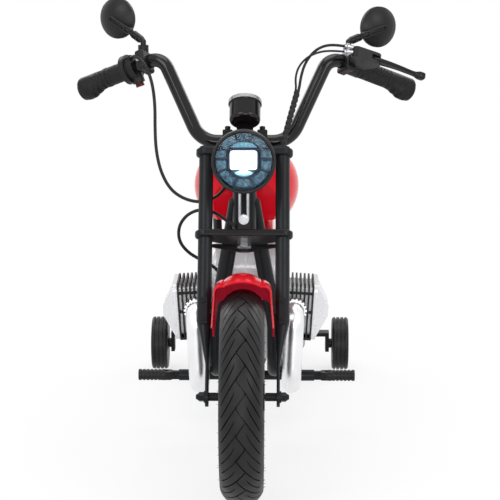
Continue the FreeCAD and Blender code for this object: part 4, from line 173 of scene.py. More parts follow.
def edge_share(tree, normal):
    """How far the rounded normal leaves the true one: 0 on open faces, 1 along edges."""
    geometry = tree.nodes.new("ShaderNodeNewGeometry")
    dot = add_node(tree, "ShaderNodeVectorMath", {0: normal, 1: geometry.outputs["Normal"]},
                   operation="DOT_PRODUCT")
    return spread(tree, dot.outputs["Value"], low=1.0, high=0.0, start=0.75, end=0.97)


def add_bump(tree, height, distance, strength, normal=None):
    """Bump of a height pattern, distance in millimetres, over an earlier normal."""
    bump = add_node(tree, "ShaderNodeBump", {
        "Height": height, "Distance": distance * MM, "Strength": strength})
    if normal is not None:
        set_inputs(tree, bump, {"Normal": normal})
    shade(tree, {"Normal": bump.outputs["Normal"]})
    return bump.outputs["Normal"]


def wear(tree, normal, colour, worn, amount):
    """Lightens the colour in broken patches along the edges."""
    patches = spread(tree, noise(tree, scale=90.0), low=0.0, high=amount, start=0.42, end=0.62)
    share = combine(tree, "MULTIPLY", patches, edge_share(tree, normal))
    shade(tree, {"Base Color": mix_colours(tree, share, colour, worn)})


def painted(tree, colour, light, roughness, coat):
    """Paint or powder coat: a slight orange peel, uneven gloss and worn edges."""
    base(tree, colour, roughness, coat=coat, specular=0.1)
    shade(tree, {"Coat Roughness": 0.06})
    vary_roughness(tree, scale=60.0, low=roughness - 0.06, high=roughness + 0.08)
    tint = vary_colour(tree, 14.0, colour, light)
    normal = soft_edges(tree, radius=0.7)
    wear(tree, normal, tint, worn=(0.09, 0.09, 0.095), amount=0.35)
    peel = noise(tree, scale=900.0, detail=2.0)
    add_bump(tree, peel, distance=0.05, strength=0.35, normal=normal)


def moulded(tree, colour, light, roughness, grain=0.06):
    """Moulded plastic with a fine spark-eroded grain."""
    base(tree, colour, roughness, specular=0.24)
    vary_roughness(tree, scale=45.0, low=roughness - 0.07, high=roughness + 0.09)
    tint = vary_colour(tree, 20.0, colour, light)
    normal = soft_edges(tree, radius=0.6)
    wear(tree, normal, tint, worn=(0.06, 0.06, 0.063), amount=0.3)
    skin = noise(tree, scale=2400.0, detail=3.0)
    add_bump(tree, skin, distance=grain, strength=0.6, normal=normal)


def plated(tree, colour, dark, low, high):
    """Zinc or chrome plate: uneven gloss, fine drawing marks, faint smears."""
    base(tree, colour, low, metallic=1.0)
    vary_roughness(tree, 35.0, low, high)
    vary_colour(tree, 25.0, colour, dark)
    marks = noise(tree, scale=700.0, detail=3.0, stretch=(1.0, 1.0, 0.15))
    add_bump(tree, marks, distance=0.02, strength=0.3, normal=soft_edges(tree, radius=0.4))


def rubber(tree, colour, light, roughness, grain=0.05, scale=1500.0):
    """Rubber: matt, with a dusty bloom and a fine pitted skin."""
    base(tree, colour, roughness, specular=0.2)
    vary_roughness(tree, scale=40.0, low=roughness - 0.08, high=roughness + 0.1)
    vary_colour(tree, 30.0, colour, light)
    add_bump(tree, noise(tree, scale, detail=3.0), distance=grain, strength=0.7)


def gloss_shell(tree, colour, dark, roughness, metallic=0.0, coat=0.2, specular=0.15):
    """A lacquered plastic shell: deep colour under a clear coat with a faint wave."""
    base(tree, colour, roughness, metallic, coat, specular)
    shade(tree, {"Coat Roughness": 0.03, "Coat IOR": 1.25})
    vary_roughness(tree, scale=30.0, low=roughness - 0.05, high=roughness + 0.07)
    vary_colour(tree, 9.0, colour, dark)
    wave = noise(tree, scale=260.0, detail=2.0)
    add_bump(tree, wave, distance=0.035, strength=0.25, normal=soft_edges(tree, radius=1.0))


def clear_lens(tree, colour, roughness, ior):
    base(tree, colour, roughness)
    shade(tree, {"Transmission Weight": 1.0, "IOR": ior})
    add_bump(tree, noise(tree, scale=120.0, detail=2.0), distance=0.03, strength=0.2)
    vary_roughness(tree, scale=50.0, low=roughness, high=roughness + 0.03)


def vinyl(tree, colour, dark, light):
    """Seat cover: leather grain, small folds of tone and a soft shine."""
    base(tree, colour, roughness=0.42, specular=0.22)
    vary_roughness(tree, scale=25.0, low=0.36, high=0.52)
    vary_colour(tree, 60.0, dark, light)
    grain = add_bump(tree, cells(tree, scale=650.0), distance=0.22, strength=0.5)
    folds = noise(tree, scale=90.0, detail=3.0)
    add_bump(tree, folds, distance=0.25, strength=0.35, normal=grain)


# Glows by emission: the lamp's face, and painted light on the chambers, the patch under the lamp and the
# patch's rim
def glow(tree, colour, strength):
    base(tree, colour, roughness=0.3)
    pattern = spread(tree, noise(tree, scale=220.0), 0.88 * strength, strength)
    shade(tree, {"Emission Color": (*colour, 1.0), "Emission Strength": pattern})


def shell_inside(tree, colour, dark, lit):
    """The unlacquered inside of a thin coloured shell, with a painted glow (emission) that stands in for
    the light falling through and onto it.
    """
    base(tree, colour, roughness=0.6, specular=0.03)
    vary_roughness(tree, scale=40.0, low=0.5, high=0.7)
    tint = vary_colour(tree, 12.0, colour, dark)
    # Emission: painted glow, the inside brightened by colour instead of by the lamps
    shade(tree, {"Emission Color": tint, "Emission Strength": lit})
    add_bump(tree, noise(tree, scale=500.0, detail=3.0), distance=0.08, strength=0.4)


def facet_glass(tree, dark, light):
    """Pressed reflector facets under tinted plastic: a deep colour with small bright patches painted in as
    glints.
    """
    base(tree, dark, roughness=0.22, specular=0.4)
    # Painted glints: noise mixes the light tone into the deep colour
    share = spread(tree, noise(tree, scale=260.0, detail=3.0), low=0.0, high=1.0, start=0.36, end=0.66)
    shade(tree, {"Base Color": mix_colours(tree, share, dark, light)})
    vary_roughness(tree, scale=300.0, low=0.15, high=0.35)
    add_bump(tree, cells(tree, scale=420.0), distance=0.5, strength=0.6)


# Each finish by its kind, its colour, its second tone and what else the kind takes
RECIPES = {
    "tyre_rubber": (rubber, (0.009, 0.009, 0.01), (0.015, 0.015, 0.016), 0.44),
    "cast_rim": (painted, (0.011, 0.011, 0.012), (0.018, 0.018, 0.02), 0.42, 0.1),
    "frame_paint": (painted, (0.012, 0.013, 0.0145), (0.016, 0.017, 0.019), 0.36, 0.05),
    "bar_paint": (painted, (0.005, 0.005, 0.006), (0.008, 0.008, 0.009), 0.16, 0.4),
    "red_shell": (gloss_shell, (0.74, 0.005, 0.018), (0.64, 0.004, 0.014), 0.2, 0.0, 0.45, 0.06),
    "silver_shell": (gloss_shell, (0.76, 0.76, 0.77), (0.68, 0.68, 0.7), 0.26, 0.2),
    "black_plastic": (moulded, (0.007, 0.007, 0.008), (0.012, 0.012, 0.013), 0.4),
    "black_steel": (painted, (0.009, 0.009, 0.01), (0.014, 0.014, 0.015), 0.3, 0.1),
    "hard_rubber": (rubber, (0.007, 0.007, 0.008), (0.012, 0.012, 0.013), 0.5, 0.06, 1800.0),
    "bright_steel": (plated, (0.5, 0.5, 0.52), (0.36, 0.36, 0.38), 0.14, 0.3),
    "lamp_lens": (clear_lens, (0.97, 0.985, 1.0), 0.01, 1.12),
    "tail_lens": (clear_lens, (0.75, 0.02, 0.025), 0.04, 1.45),
    "button_red": (gloss_shell, (0.09, 0.003, 0.004), (0.06, 0.002, 0.003), 0.3),
    "seat_vinyl": (vinyl, (0.011, 0.011, 0.012), (0.009, 0.009, 0.01), (0.017, 0.017, 0.018)),
    "cable_sheath": (rubber, (0.01, 0.01, 0.011), (0.016, 0.016, 0.017), 0.4, 0.03),
    # The fenders' inside: a darker red with a painted glow (emission 0.28) in place of the light falling
    # into the fender
    "red_inside_painted_glow": (shell_inside, (0.5, 0.006, 0.03), (0.4, 0.004, 0.022), 0.28),
    "exhaust_plate": (plated, (0.92, 0.92, 0.93), (0.84, 0.84, 0.86), 0.26, 0.38),
    "lamp_navy": (moulded, (0.006, 0.022, 0.042), (0.01, 0.034, 0.06), 0.35),
    # Facets: deep blue with painted glints in a paler blue
    "lamp_blue": (facet_glass, (0.01, 0.045, 0.08), (0.07, 0.19, 0.27)),
    # Emission: the lamp's face glows; the chambers, the patch under the lamp and its rim are painted light
    "lamp_white": (glow, (1.0, 1.0, 1.0), 1.15),
    "lamp_halo": (glow, (0.07, 0.21, 0.3), 0.4),
    "lamp_spill": (glow, (0.3, 0.58, 0.68), 0.75),
    "mirror_glass": (plated, (0.86, 0.88, 0.9), (0.82, 0.84, 0.86), 0.02, 0.05),
    "dial_face": (gloss_shell, (0.012, 0.012, 0.014), (0.009, 0.009, 0.01), 0.15),
    "dial_white": (moulded, (0.8, 0.8, 0.78), (0.74, 0.74, 0.72), 0.4, 0.01),
}
FINISH = {}
for name, (recipe, *values) in RECIPES.items():
    FINISH[name] = bpy.data.materials.new(name)
    FINISH[name].use_nodes = True
    recipe(FINISH[name].node_tree, *values)

NODE_FINISHES = {
    "cast_rim": ("front_wheel", "rear_wheel"),
    "frame_paint": ("frame_spine", "cradle_tubes", "rear_stays", "upper_clamp", "fork_legs",
                    "front_axle", "stabiliser_brackets", "footpeg_bar", "rear_axle"),
    "bar_paint": ("handlebar", "gauge_pod"),
    "red_shell": ("front_fender", "fuel_tank", "rear_fender"),
    "silver_shell": ("engine_case_left", "engine_case_right", "valve_covers"),
    "black_plastic": ("headlight_housing", "throttle_housing", "lever_perch", "mirror_clamps",
                      "mirror_arm_left", "mirror_arm_right", "mirror_head_left", "mirror_head_right",
                      "seat_pan", "cylinder_fins", "battery_pack", "motor_controller",
                      "footpeg_left", "footpeg_right", "stabiliser_wheel_left",
                      "stabiliser_wheel_right"),
    "black_steel": ("steering_stem", "bar_clamps", "brake_lever", "rear_brake", "headset_cups",
                    "pivot_bolts"),
    "bright_steel": ("fork_fasteners", "headlight_bracket", "gauge_bezel", "tank_cap"),
    "exhaust_plate": ("exhausts",),
    "lamp_lens": ("headlight_lens",),
    "tail_lens": ("tail_light",),
    "button_red": ("throttle_button",),
}


def islands(mesh):
    """The polygons of each separate solid in a mesh."""
    parent = list(range(len(mesh.vertices)))

    def root(index):
        while parent[index] != index:
            parent[index] = parent[parent[index]]
            index = parent[index]
        return index

    for edge in mesh.edges:
        first, second = (root(index) for index in edge.vertices)
        parent[first] = second
    welded = {}
    for vertex in mesh.vertices:
        key = tuple(round(value, 6) for value in vertex.co)
        parent[root(vertex.index)] = root(welded.setdefault(key, vertex.index))
    groups = {}
    for polygon in mesh.polygons:
        groups.setdefault(root(polygon.vertices[0]), []).append(polygon)
    return groups.values()


def centre_of(polygons):
    area = sum(polygon.area for polygon in polygons)
    return sum((polygon.center * polygon.area for polygon in polygons), Vector()) / area


def paint(node, finish, polygons):
    """Gives a second finish to some polygons of a node."""
    mesh = NODES[node].data
    mesh.materials.append(FINISH[finish])
    for polygon in polygons:
        polygon.material_index = len(mesh.materials) - 1


SAME_WAY = 0.99
MIRROR_TURN = math.radians(30)
MIRROR_GLASS_RADIUS = 0.0306
DIAL_TILT = math.radians(52)
DIAL_TOWARD = Vector((0, math.cos(DIAL_TILT), math.sin(DIAL_TILT)))
DIAL_UP = Vector((0, -math.sin(DIAL_TILT), math.cos(DIAL_TILT)))
DIAL_SINK = 0.003
DIAL_MIDDLE = middle("gauge_bezel") - DIAL_TOWARD * DIAL_SINK
DIAL_SLACK = 0.0006
INSIDE_LEAN = 0.12
FORK_BOLTS_X = (0.03, 0.12)


def paint_mirror(node, side):
    """Bright glass on the flat face that looks at the rider."""
    facing = Vector((-math.sin(MIRROR_TURN) * side, math.cos(MIRROR_TURN), 0))
    mesh = NODES[node].data
    flat = [polygon for polygon in mesh.polygons if polygon.normal.dot(facing) > SAME_WAY]
    centre = centre_of(flat)
    paint(node, "mirror_glass", [polygon for polygon in flat if all(
        (mesh.vertices[index].co - centre).length < MIRROR_GLASS_RADIUS for index in polygon.vertices)])


def paint_inside(node, axle):
    """The inside finish, with its painted glow, on the faces of a fender that look at the wheel's axle."""
    hub = Vector((0, axle.y, axle.z))
    paint(node, "red_inside_painted_glow", [
        polygon for polygon in NODES[node].data.polygons
        if polygon.normal.dot((hub - polygon.center).normalized()) > INSIDE_LEAN])


def finish_cad_nodes():
    for finish, names in NODE_FINISHES.items():
        for name in names:
            mesh = NODES[name].data
            mesh.materials.clear()
            mesh.materials.append(FINISH[finish])
    near, far = FORK_BOLTS_X
    paint("fork_fasteners", "black_steel", [
        polygon for polygons in islands(NODES["fork_fasteners"].data)
        if near < abs(centre_of(polygons).x) < far for polygon in polygons])
    paint_mirror("mirror_head_left", 1)
    paint_mirror("mirror_head_right", -1)
    paint("gauge_pod", "dial_face", [
        polygon for polygon in NODES["gauge_pod"].data.polygons
        if polygon.normal.dot(DIAL_TOWARD) > SAME_WAY
        and abs((polygon.center - DIAL_MIDDLE).dot(DIAL_TOWARD)) < DIAL_SLACK])
    paint_inside("front_fender", FRONT_AXLE)
    paint_inside("rear_fender", REAR_AXLE)


# Pieces

def add_piece(name, mesh, body, slot, finish=None, replaced=(), sharp=35.0):
    """A mesh piece that rides on a body, smooth apart from edges sharper than sharp degrees."""
    piece = add_object(name, mesh)
    mesh.materials.clear()
    mesh.materials.append(FINISH[finish or slot])
    mesh.shade_smooth()
    mesh.set_sharp_from_angle(angle=math.radians(sharp))
    if body:
        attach(piece, body)
    if replaced:
        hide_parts(*replaced)
    return piece


def mesh_from(name, build):
    """A mesh made by a function that fills a bmesh."""
    shape = bmesh.new()
    build(shape)
    bmesh.ops.recalc_face_normals(shape, faces=shape.faces)
    mesh = bpy.data.meshes.new(name)
    shape.to_mesh(mesh)
    shape.free()
    return mesh


def add_built(name, build, *values, **more):
    """A piece whose mesh a function fills."""
    return add_piece(name, mesh_from(name, build), *values, **more)


def taken_from(item):
    """The mesh of an object as its modifiers leave it; the object goes."""
    graph = bpy.context.evaluated_depsgraph_get()
    result = bpy.data.meshes.new_from_object(item.evaluated_get(graph))
    bpy.data.objects.remove(item)
    return result


def modified(mesh, kind, **settings):
    """The mesh after one modifier."""
    holder = add_object("holder", mesh)
    modifier = holder.modifiers.new(kind, kind)
    for key, value in settings.items():
        setattr(modifier, key, value)
    return taken_from(holder)


def loft(shape, outlines, hoop=False):
    """Faces from outline to outline, with capped ends or closed into a hoop."""
    rings = [[shape.verts.new(place) for place in outline] for outline in outlines]
    for first, second in zip(rings, rings[1:] + rings[:1] if hoop else rings[1:]):
        for index in range(len(first)):
            after = (index + 1) % len(first)
            shape.faces.new((first[index], first[after], second[after], second[index]))
    if not hoop:
        shape.faces.new(rings[0][::-1])
        shape.faces.new(rings[-1])


def sweep(shape, places, section):
    """A closed tube along places; section gives the outline for a share of the length."""
    across = Vector((0, 0, 1))
    last = len(places) - 1
    rings = []
    for index, place in enumerate(places):
        ahead = (places[min(index + 1, last)] - places[max(index - 1, 0)]).normalized()
        across = (across - ahead * across.dot(ahead)).normalized()
        beside = ahead.cross(across)
        rings.append([place + across * u + beside * v for u, v in section(index / last)])
    loft(shape, rings)


def round_section(radius, sides=16):
    """A circle's outline in metres, from its radius in millimetres."""
    return [(radius * MM * math.cos(turn), radius * MM * math.sin(turn)) for turn in turns(sides)]


# Cords

def route_curve(name, points):
    """One open smooth spline with the route's points as its control points."""
    curve = bpy.data.curves.new(name, "CURVE")
    curve.dimensions = "3D"
    curve.resolution_u = 10
    spline = curve.splines.new("NURBS")
    spline.points.add(len(points) - 1)
    for point, place in zip(spline.points, points):
        point.co = (*at(*place), 1.0)
    spline.order_u = 3
    spline.use_endpoint_u = True
    return curve


def add_cord(name, points, radius, replaced):
    curve = route_curve(name, points)
    curve.bevel_depth = radius * MM
    curve.bevel_resolution = 5
    curve.use_fill_caps = True
    piece = add_object(name, curve)
    curve.materials.append(FINISH["cable_sheath"])
    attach(piece, "steering")
    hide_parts(*replaced)


def spline_points(points):
    """Points read along the smooth spline of a route."""
    line = taken_from(add_object("route", route_curve("route", points)))
    found = [vertex.co.copy() for vertex in line.vertices]
    bpy.data.meshes.remove(line)
    return found


THROTTLE_ROUTE = [
    (-185.4, 284.2, 643.3), (-179, 271, 649), (-166, 257, 643.5), (-155.5, 246.5, 630),
    (-147, 239.5, 606), (-143, 233.5, 573), (-143, 226, 538), (-141, 214, 504), (-133, 203, 471),
    (-117, 193, 444), (-93, 185, 430), (-66, 178, 427), (-44, 171, 437), (-31, 163, 452),
    (-24, 158, 466)]
BRAKE_ROUTE = [
    (156.5, 248.5, 666), (141, 244, 669), (122, 240, 667), (106, 236, 657), (94, 232, 640),
    (88, 229, 620), (85.2, 227.2, 600), (78.5, 221, 579), (71, 212.5, 552), (59.1, 198.8, 508.5)]
SWITCH_ROUTE = [
    (155.5, 243, 658), (139, 238, 660), (118, 234, 659), (98, 230, 651), (84, 227, 636),
    (79, 226, 618), (80.8, 226, 600), (75, 219.5, 579), (67.5, 211, 552), (55.9, 197.2, 508.5)]
LOOP_ROUTE = [
    (-11.6, 113, 402), (-25, 124, 407), (-41, 145, 415), (-63, 164, 420), (-88, 175, 411),
    (-104, 182, 390), (-105, 189, 364), (-92, 200, 343), (-73, 214, 328), (-56, 230, 316),
    (-46, 245, 304), (-42, 261, 294)]
LOOP_RADIUS = 2.6
WRAP_TOP = at(83, 226.5, 599)
WRAP_FOOT = at(57.5, 198, 508.5)
WRAP_CORE_RADIUS = 3.9
WRAP_CORE_STEPS = 28
WRAP_TURNS = 11
WRAP_TURN_STEPS = 20
WRAP_HALF_WIDTH = 3.2
# The band's section as (radius, share of the half width)
WRAP_SECTION = ((3.7, -1), (4.7, -0.9), (5.0, -0.5), (5.0, 0.5), (4.7, 0.9), (3.7, 1))


def build_wrap(shape):
    """A spiral band wound round the two cables, over a slim core."""
    run = WRAP_FOOT - WRAP_TOP
    sweep(shape, [WRAP_TOP.lerp(WRAP_FOOT, share) for share in evenly(0, 1, WRAP_CORE_STEPS)],
          lambda share: round_section(WRAP_CORE_RADIUS))
    ahead = run.normalized()
    across = ahead.orthogonal().normalized()
    beside = ahead.cross(across)
    half_band = ahead * (WRAP_HALF_WIDTH * MM)
    rings = []
    for share in evenly(0, 1, WRAP_TURNS * WRAP_TURN_STEPS):
        turn = FULL_TURN * WRAP_TURNS * share
        out = across * math.cos(turn) + beside * math.sin(turn)
        centre = WRAP_TOP + half_band + (run - 2 * half_band) * share
        rings.append([centre + out * radius * MM + half_band * edge for radius, edge in WRAP_SECTION])
    loft(shape, rings)


def add_cords():
    wrap = add_built("cable_spiral_wrap", build_wrap, "steering", "cable_sheath",
                     replaced=("cable_wrap",))
    brake_nodes = ("brake_cables", "cable_wrap")
    add_cord("throttle_cable_line", THROTTLE_ROUTE, 2.6, ("throttle_cable",))
    add_cord("brake_cable_line", BRAKE_ROUTE, 2.2, brake_nodes)
    add_cord("brake_switch_wire", SWITCH_ROUTE, 1.7, brake_nodes)
    path = spline_points(LOOP_ROUTE)
    lead = add_built(
        "wiring_loop_lead",
        lambda shape: sweep(shape, path, lambda share: round_section(LOOP_RADIUS)),
        None, "cable_sheath", replaced=("wiring_loop",))
    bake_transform(lead)


# Tyres

TYRE_RADIUS = 162.5
TYRE_HALF_WIDTH = 32.0
SHOULDER_RADIUS = 140.5
BEAD_RADIUS = 101.5
BEAD_HALF_WIDTH = 25.0
CROWN_DROP = TYRE_RADIUS - SHOULDER_RADIUS
CROWN_RADIUS = (TYRE_HALF_WIDTH ** 2 + CROWN_DROP ** 2) / (2 * CROWN_DROP)
CROWN_REACH = CROWN_RADIUS * math.asin(TYRE_HALF_WIDTH / CROWN_RADIUS)
CROWN_STEPS = 24
WALL_STEPS = 22
WALL_SWELL = 2.6
WALL_INSET = 0.4
RING_STEPS = (2, 3, 15, 16)
RING_HEIGHT = 0.7
TYRE_STEPS = 150
GROOVE_PAIRS = 25
GROOVE_STEPS = 9
GROOVE_SLOPE = 1.46
GROOVE_DEPTH = 2.6
GROOVE_OVERRUN = 1.2
GROOVE_HOOK_POWER = 6
GROOVE_END_RATE = 6
# Shares of a groove's width at its top, at its foot and at its narrow end
GROOVE_TOP = 1.25
GROOVE_FOOT = 0.7
GROOVE_TIP = 0.55
# The short step along a groove that gives its direction, in millimetres and as a turn
PROBE_RUN = 0.3
PROBE_TURN = 0.002
# Each groove's start and end across from the middle line, its width and its hook
LONG_GROOVE = (-33.0, 8.0, 2.0, 0.0)
SHORT_GROOVE = (-33.0, -9.0, 1.7, 5.0)
HAIRS = 44
HAIR_SCATTER = 0.8
HAIR_LEAN = 0.5
HAIR_SINK = 0.8
# Least value and spread of the hairs' distance from the shoulder and of their length
HAIR_DROP = (4.0, 6.0)
HAIR_LENGTH = (3.0, 2.0)
HAIR_RADIUS = 0.42
HAIR_TAPER = 0.3
HAIR_SIDES = 5


def crown_place(run):
    """Half-width and radius on the crown, run millimetres across from its middle line."""
    turn = run / CROWN_RADIUS
    return CROWN_RADIUS * math.sin(turn), TYRE_RADIUS - CROWN_RADIUS * (1 - math.cos(turn))


def tyre_profile():
    """The section's outline: the crown, then each wall with its two moulded rings, then the bead."""
    crown = [crown_place(CROWN_REACH * (2 * step / CROWN_STEPS - 1)) for step in range(CROWN_STEPS + 1)]
    right = []
    for step in range(1, WALL_STEPS):
        share = step / WALL_STEPS
        radius = SHOULDER_RADIUS + (BEAD_RADIUS - SHOULDER_RADIUS) * share
        width = (TYRE_HALF_WIDTH * (1 - share) + BEAD_HALF_WIDTH * share
                 + WALL_SWELL * math.sin(math.pi * share ** 0.8))
        ring = RING_HEIGHT if step in RING_STEPS else 0.0
        right.append((min(width, TYRE_HALF_WIDTH) + ring - WALL_INSET, radius))
    right.append((BEAD_HALF_WIDTH, BEAD_RADIUS))
    left = [(-width, radius) for width, radius in right]
    return crown + right + left[::-1]


def wheel_point(axle, x, radius, turn):
    """A point on a wheel; turn is zero at its front and grows upward there."""
    return axle + Vector((x, -radius * math.cos(turn), radius * math.sin(turn))) * MM


def build_tyre(shape, axle):
    profile = tyre_profile()
    loft(shape, [[wheel_point(axle, x, radius, turn) for x, radius in profile]
                 for turn in turns(TYRE_STEPS)], hoop=True)


def add_groove(shape, axle, side, middle_turn, start, end, width, hook):
    """A cutter for one tread groove, from the shoulder towards the middle line and over it."""
    rings = []
    for step in range(GROOVE_STEPS + 1):
        share = step / GROOVE_STEPS
        run = start + (end - start) * share
        turn = middle_turn + (GROOVE_SLOPE * run + hook * share ** GROOVE_HOOK_POWER) / TYRE_RADIUS
        x, radius = crown_place(run)
        before_x, before_radius = crown_place(run - PROBE_RUN)
        lean = run / CROWN_RADIUS
        out = Vector((math.sin(lean) * side, -math.cos(lean) * math.cos(turn),
                      math.cos(lean) * math.sin(turn)))
        ahead = (wheel_point(Vector(), side * x, radius, turn + PROBE_TURN * GROOVE_SLOPE)
                 - wheel_point(Vector(), side * before_x, before_radius, turn)).normalized()
        beside = out.cross(ahead).normalized()
        place = wheel_point(axle, side * x, radius, turn)
        full = min(1.0, GROOVE_END_RATE * share, GROOVE_END_RATE * (1 - share) + 0.2)
        half = width / 2 * (GROOVE_TIP + (1 - GROOVE_TIP) * full) * MM
        deep = GROOVE_DEPTH * min(1.0, 0.5 + 3 * (1 - share)) * MM
        over = GROOVE_OVERRUN * MM
        rings.append([place + beside * u + out * v for u, v in (
            (half * GROOVE_TOP, over), (half * GROOVE_FOOT, -deep),
            (-half * GROOVE_FOOT, -deep), (-half * GROOVE_TOP, over))])
    loft(shape, rings)


def build_grooves(shape, axle):
    pitch = FULL_TURN / GROOVE_PAIRS
    for pair in range(GROOVE_PAIRS):
        for side, shift in ((1, 0.0), (-1, 0.5)):
            turn = pitch * (pair + shift)
            add_groove(shape, axle, side, turn, *LONG_GROOVE)
            add_groove(shape, axle, side, turn + pitch / 2, *SHORT_GROOVE)


def add_hairs(shape, axle):
    """The thin rubber hairs that moulding leaves along both shoulders."""
    for side in (1, -1):
        for hair in range(HAIRS):
            turn = FULL_TURN * (hair + DRAWS.random() * HAIR_SCATTER) / HAIRS
            radius = SHOULDER_RADIUS - HAIR_DROP[0] - HAIR_DROP[1] * DRAWS.random()
            root = wheel_point(axle, side * (TYRE_HALF_WIDTH - HAIR_SINK), radius, turn)
            lean = Vector((side, DRAWS.uniform(-HAIR_LEAN, HAIR_LEAN),
                           DRAWS.uniform(-HAIR_LEAN, HAIR_LEAN))).normalized()
            tip = root + lean * (HAIR_LENGTH[0] + HAIR_LENGTH[1] * DRAWS.random()) * MM
            sweep(shape, [root, root.lerp(tip, 0.5), tip],
                  lambda share: round_section(HAIR_RADIUS - HAIR_TAPER * share, HAIR_SIDES))


def add_tyre(name, node, body):
    axle = middle(node)
    blank = mesh_from(name, lambda shape: build_tyre(shape, axle))
    cutter = add_object("cutter", mesh_from("cutter", lambda shape: build_grooves(shape, axle)))
    mesh = modified(blank, "BOOLEAN", operation="DIFFERENCE", solver="MANIFOLD", object=cutter)
    bpy.data.objects.remove(cutter)
    shape = bmesh.new()
    shape.from_mesh(mesh)
    add_hairs(shape, axle)
    shape.to_mesh(mesh)
    shape.free()
    add_piece(name, mesh, body, "tyre_rubber", replaced=(node,), sharp=32.0)


# Headlight, in millimetres from its middle, with depths behind its face

LAMP_MIDDLE = (0.0, 100.0, 504.0)
LAMP_SHIFT = (-0.3, 1.6)
LAMP_FRONT = 6.2
FACET_RADIUS = 44.0
FACET_FOOT_RADIUS = 41.0
FACET_FRONT = 8.5
FACET_BACK = 12.5
CHAMBER_FRONT = 9.7
PATCH_FRONT = 8.6
SPILL_FRONT = 9.1
# Inner and outer radius of the corner panels, and the degrees from the top where they start and end
CORNER_PANELS = ((32.0, FACET_RADIUS, 21, 56), (29.5, 42.0, 154, 118))
SIDE_PANELS = (((27, 17), (40.5, 17), (43, 9), (43.6, 5.2), (27, 5.2)),
               ((27, 1.2), (43.8, 1.2), (43, -8), (40.5, -15.5), (27, -11.5)))
# Sections as (radius, depth)
DISH_SECTION = ((0.6, 12.0), (46.0, 12.0), (46.0, 15.0), (0.6, 15.0))
BEZEL_SECTION = ((48.9, 7.0), (49.4, 3.0), (49.2, 0.2), (48.2, -0.9), (46.6, -1.1), (45.0, -0.2),
                 (44.2, 1.2), (44.2, 1.9), (46.4, 1.9), (46.4, 7.0))


def lamp_point(x, z, depth):
    return at(LAMP_MIDDLE[0] + x, LAMP_MIDDLE[1] + depth, LAMP_MIDDLE[2] + z)


def add_plate(shape, outline, front=FACET_FRONT, back=FACET_BACK, chamfer=0.9):
    """A plate with a chamfered front edge, from its outline of (x, z)."""
    centre_x = sum(x for x, z in outline) / len(outline)
    centre_z = sum(z for x, z in outline) / len(outline)
    shrink = 1 - chamfer / min(math.hypot(x - centre_x, z - centre_z) for x, z in outline)
    loft(shape, [
        [lamp_point(centre_x + (x - centre_x) * scale, centre_z + (z - centre_z) * scale, depth)
         for x, z in outline]
        for depth, scale in ((front, shrink), (front + chamfer, 1.0), (back, 1.0))])


def arc_outline(inner, outer, start, end, steps=10):
    """A curved segment between two radii; angles in degrees from the top, growing to the right."""
    angles = [math.radians(angle) for angle in evenly(start, end, steps)]
    far = [(outer * math.sin(turn), outer * math.cos(turn)) for turn in angles]
    near = [(inner * math.sin(turn), inner * math.cos(turn)) for turn in reversed(angles)]
    return far + near


def rounded_box(width, height, corner, steps=6):
    """A box with round corners about the lamp's middle."""
    outline = []
    for quarter, (sx, sz) in enumerate(((1, 1), (-1, 1), (-1, -1), (1, -1))):
        for step in range(steps + 1):
            turn = math.pi / 2 * (quarter + step / steps)
            outline.append((LAMP_SHIFT[0] + sx * (width / 2 - corner) + corner * math.cos(turn),
                            LAMP_SHIFT[1] + sz * (height / 2 - corner) + corner * math.sin(turn)))
    return outline


def oval(half_width, half_height, z, steps=24):
    return [(half_width * math.cos(turn), z + half_height * math.sin(turn)) for turn in turns(steps)]


def lathe(shape, section, point, steps):
    """Spins a closed section of (radius, depth); point turns x, z and depth into a place."""
    loft(shape, [[point(radius * math.sin(turn), radius * math.cos(turn), depth)
                  for radius, depth in section] for turn in turns(steps)], hoop=True)


def build_facets(shape):
    """Ten tinted panels round the lamp: wedges above and below, curved corners, squares beside."""
    for flip in (1, -1):
        for inner, outer, start, end in CORNER_PANELS:
            add_plate(shape, arc_outline(inner, outer, start * flip, end * flip))
        for panel in SIDE_PANELS:
            add_plate(shape, [(x * flip, z) for x, z in panel])
    top = [(x, math.sqrt(FACET_RADIUS ** 2 - x * x)) for x in (12, 6, 0, -6, -12)]
    add_plate(shape, top + [(-8, 33.5), (8, 33.5)])
    foot = [(x, -math.sqrt(FACET_FOOT_RADIUS ** 2 - x * x)) for x in (-12.5, -6, 0, 6, 12.5)]
    add_plate(shape, foot + [(7.6, -28), (-7.6, -28)])


def build_chambers(shape):
    """The chambers over and under the lamp, with a painted glow as if lit."""
    brow = [(x, 29.5 - 0.016 * x * x) for x in (14, 9, 4, 0, -4, -9, -14)]
    add_plate(shape, brow + [(-20, 21), (20, 21)], CHAMBER_FRONT)
    bowl = [(x, -25.0 + 0.03 * x * x) for x in (-17, -11, -6, 0, 6, 11, 17)]
    add_plate(shape, bowl + [(19, -14.8), (-19, -14.8)], CHAMBER_FRONT)


def build_lamp(shape):
    """The lamp's square face, and the bright patch under it, a painted pool of light."""
    add_plate(shape, rounded_box(width=41.5, height=29.5, corner=4.5), LAMP_FRONT, chamfer=1.2)
    add_plate(shape, oval(half_width=9.5, half_height=2.8, z=-16.8), PATCH_FRONT, chamfer=0.8)


def build_spill(shape):
    """The paler rim of the bright patch under the lamp, painted light as well."""
    add_plate(shape, oval(half_width=13.5, half_height=4.6, z=-18.2), SPILL_FRONT, chamfer=0.8)


def build_reflector(shape):
    """The dark dish behind the panels, with a raised frame round the lamp."""
    lathe(shape, DISH_SECTION, lamp_point, 72)
    add_plate(shape, rounded_box(width=49.0, height=37.0, corner=6.5), front=9.4, back=12.4, chamfer=1.4)


def build_bezel(shape):
    lathe(shape, BEZEL_SECTION, lamp_point, 96)


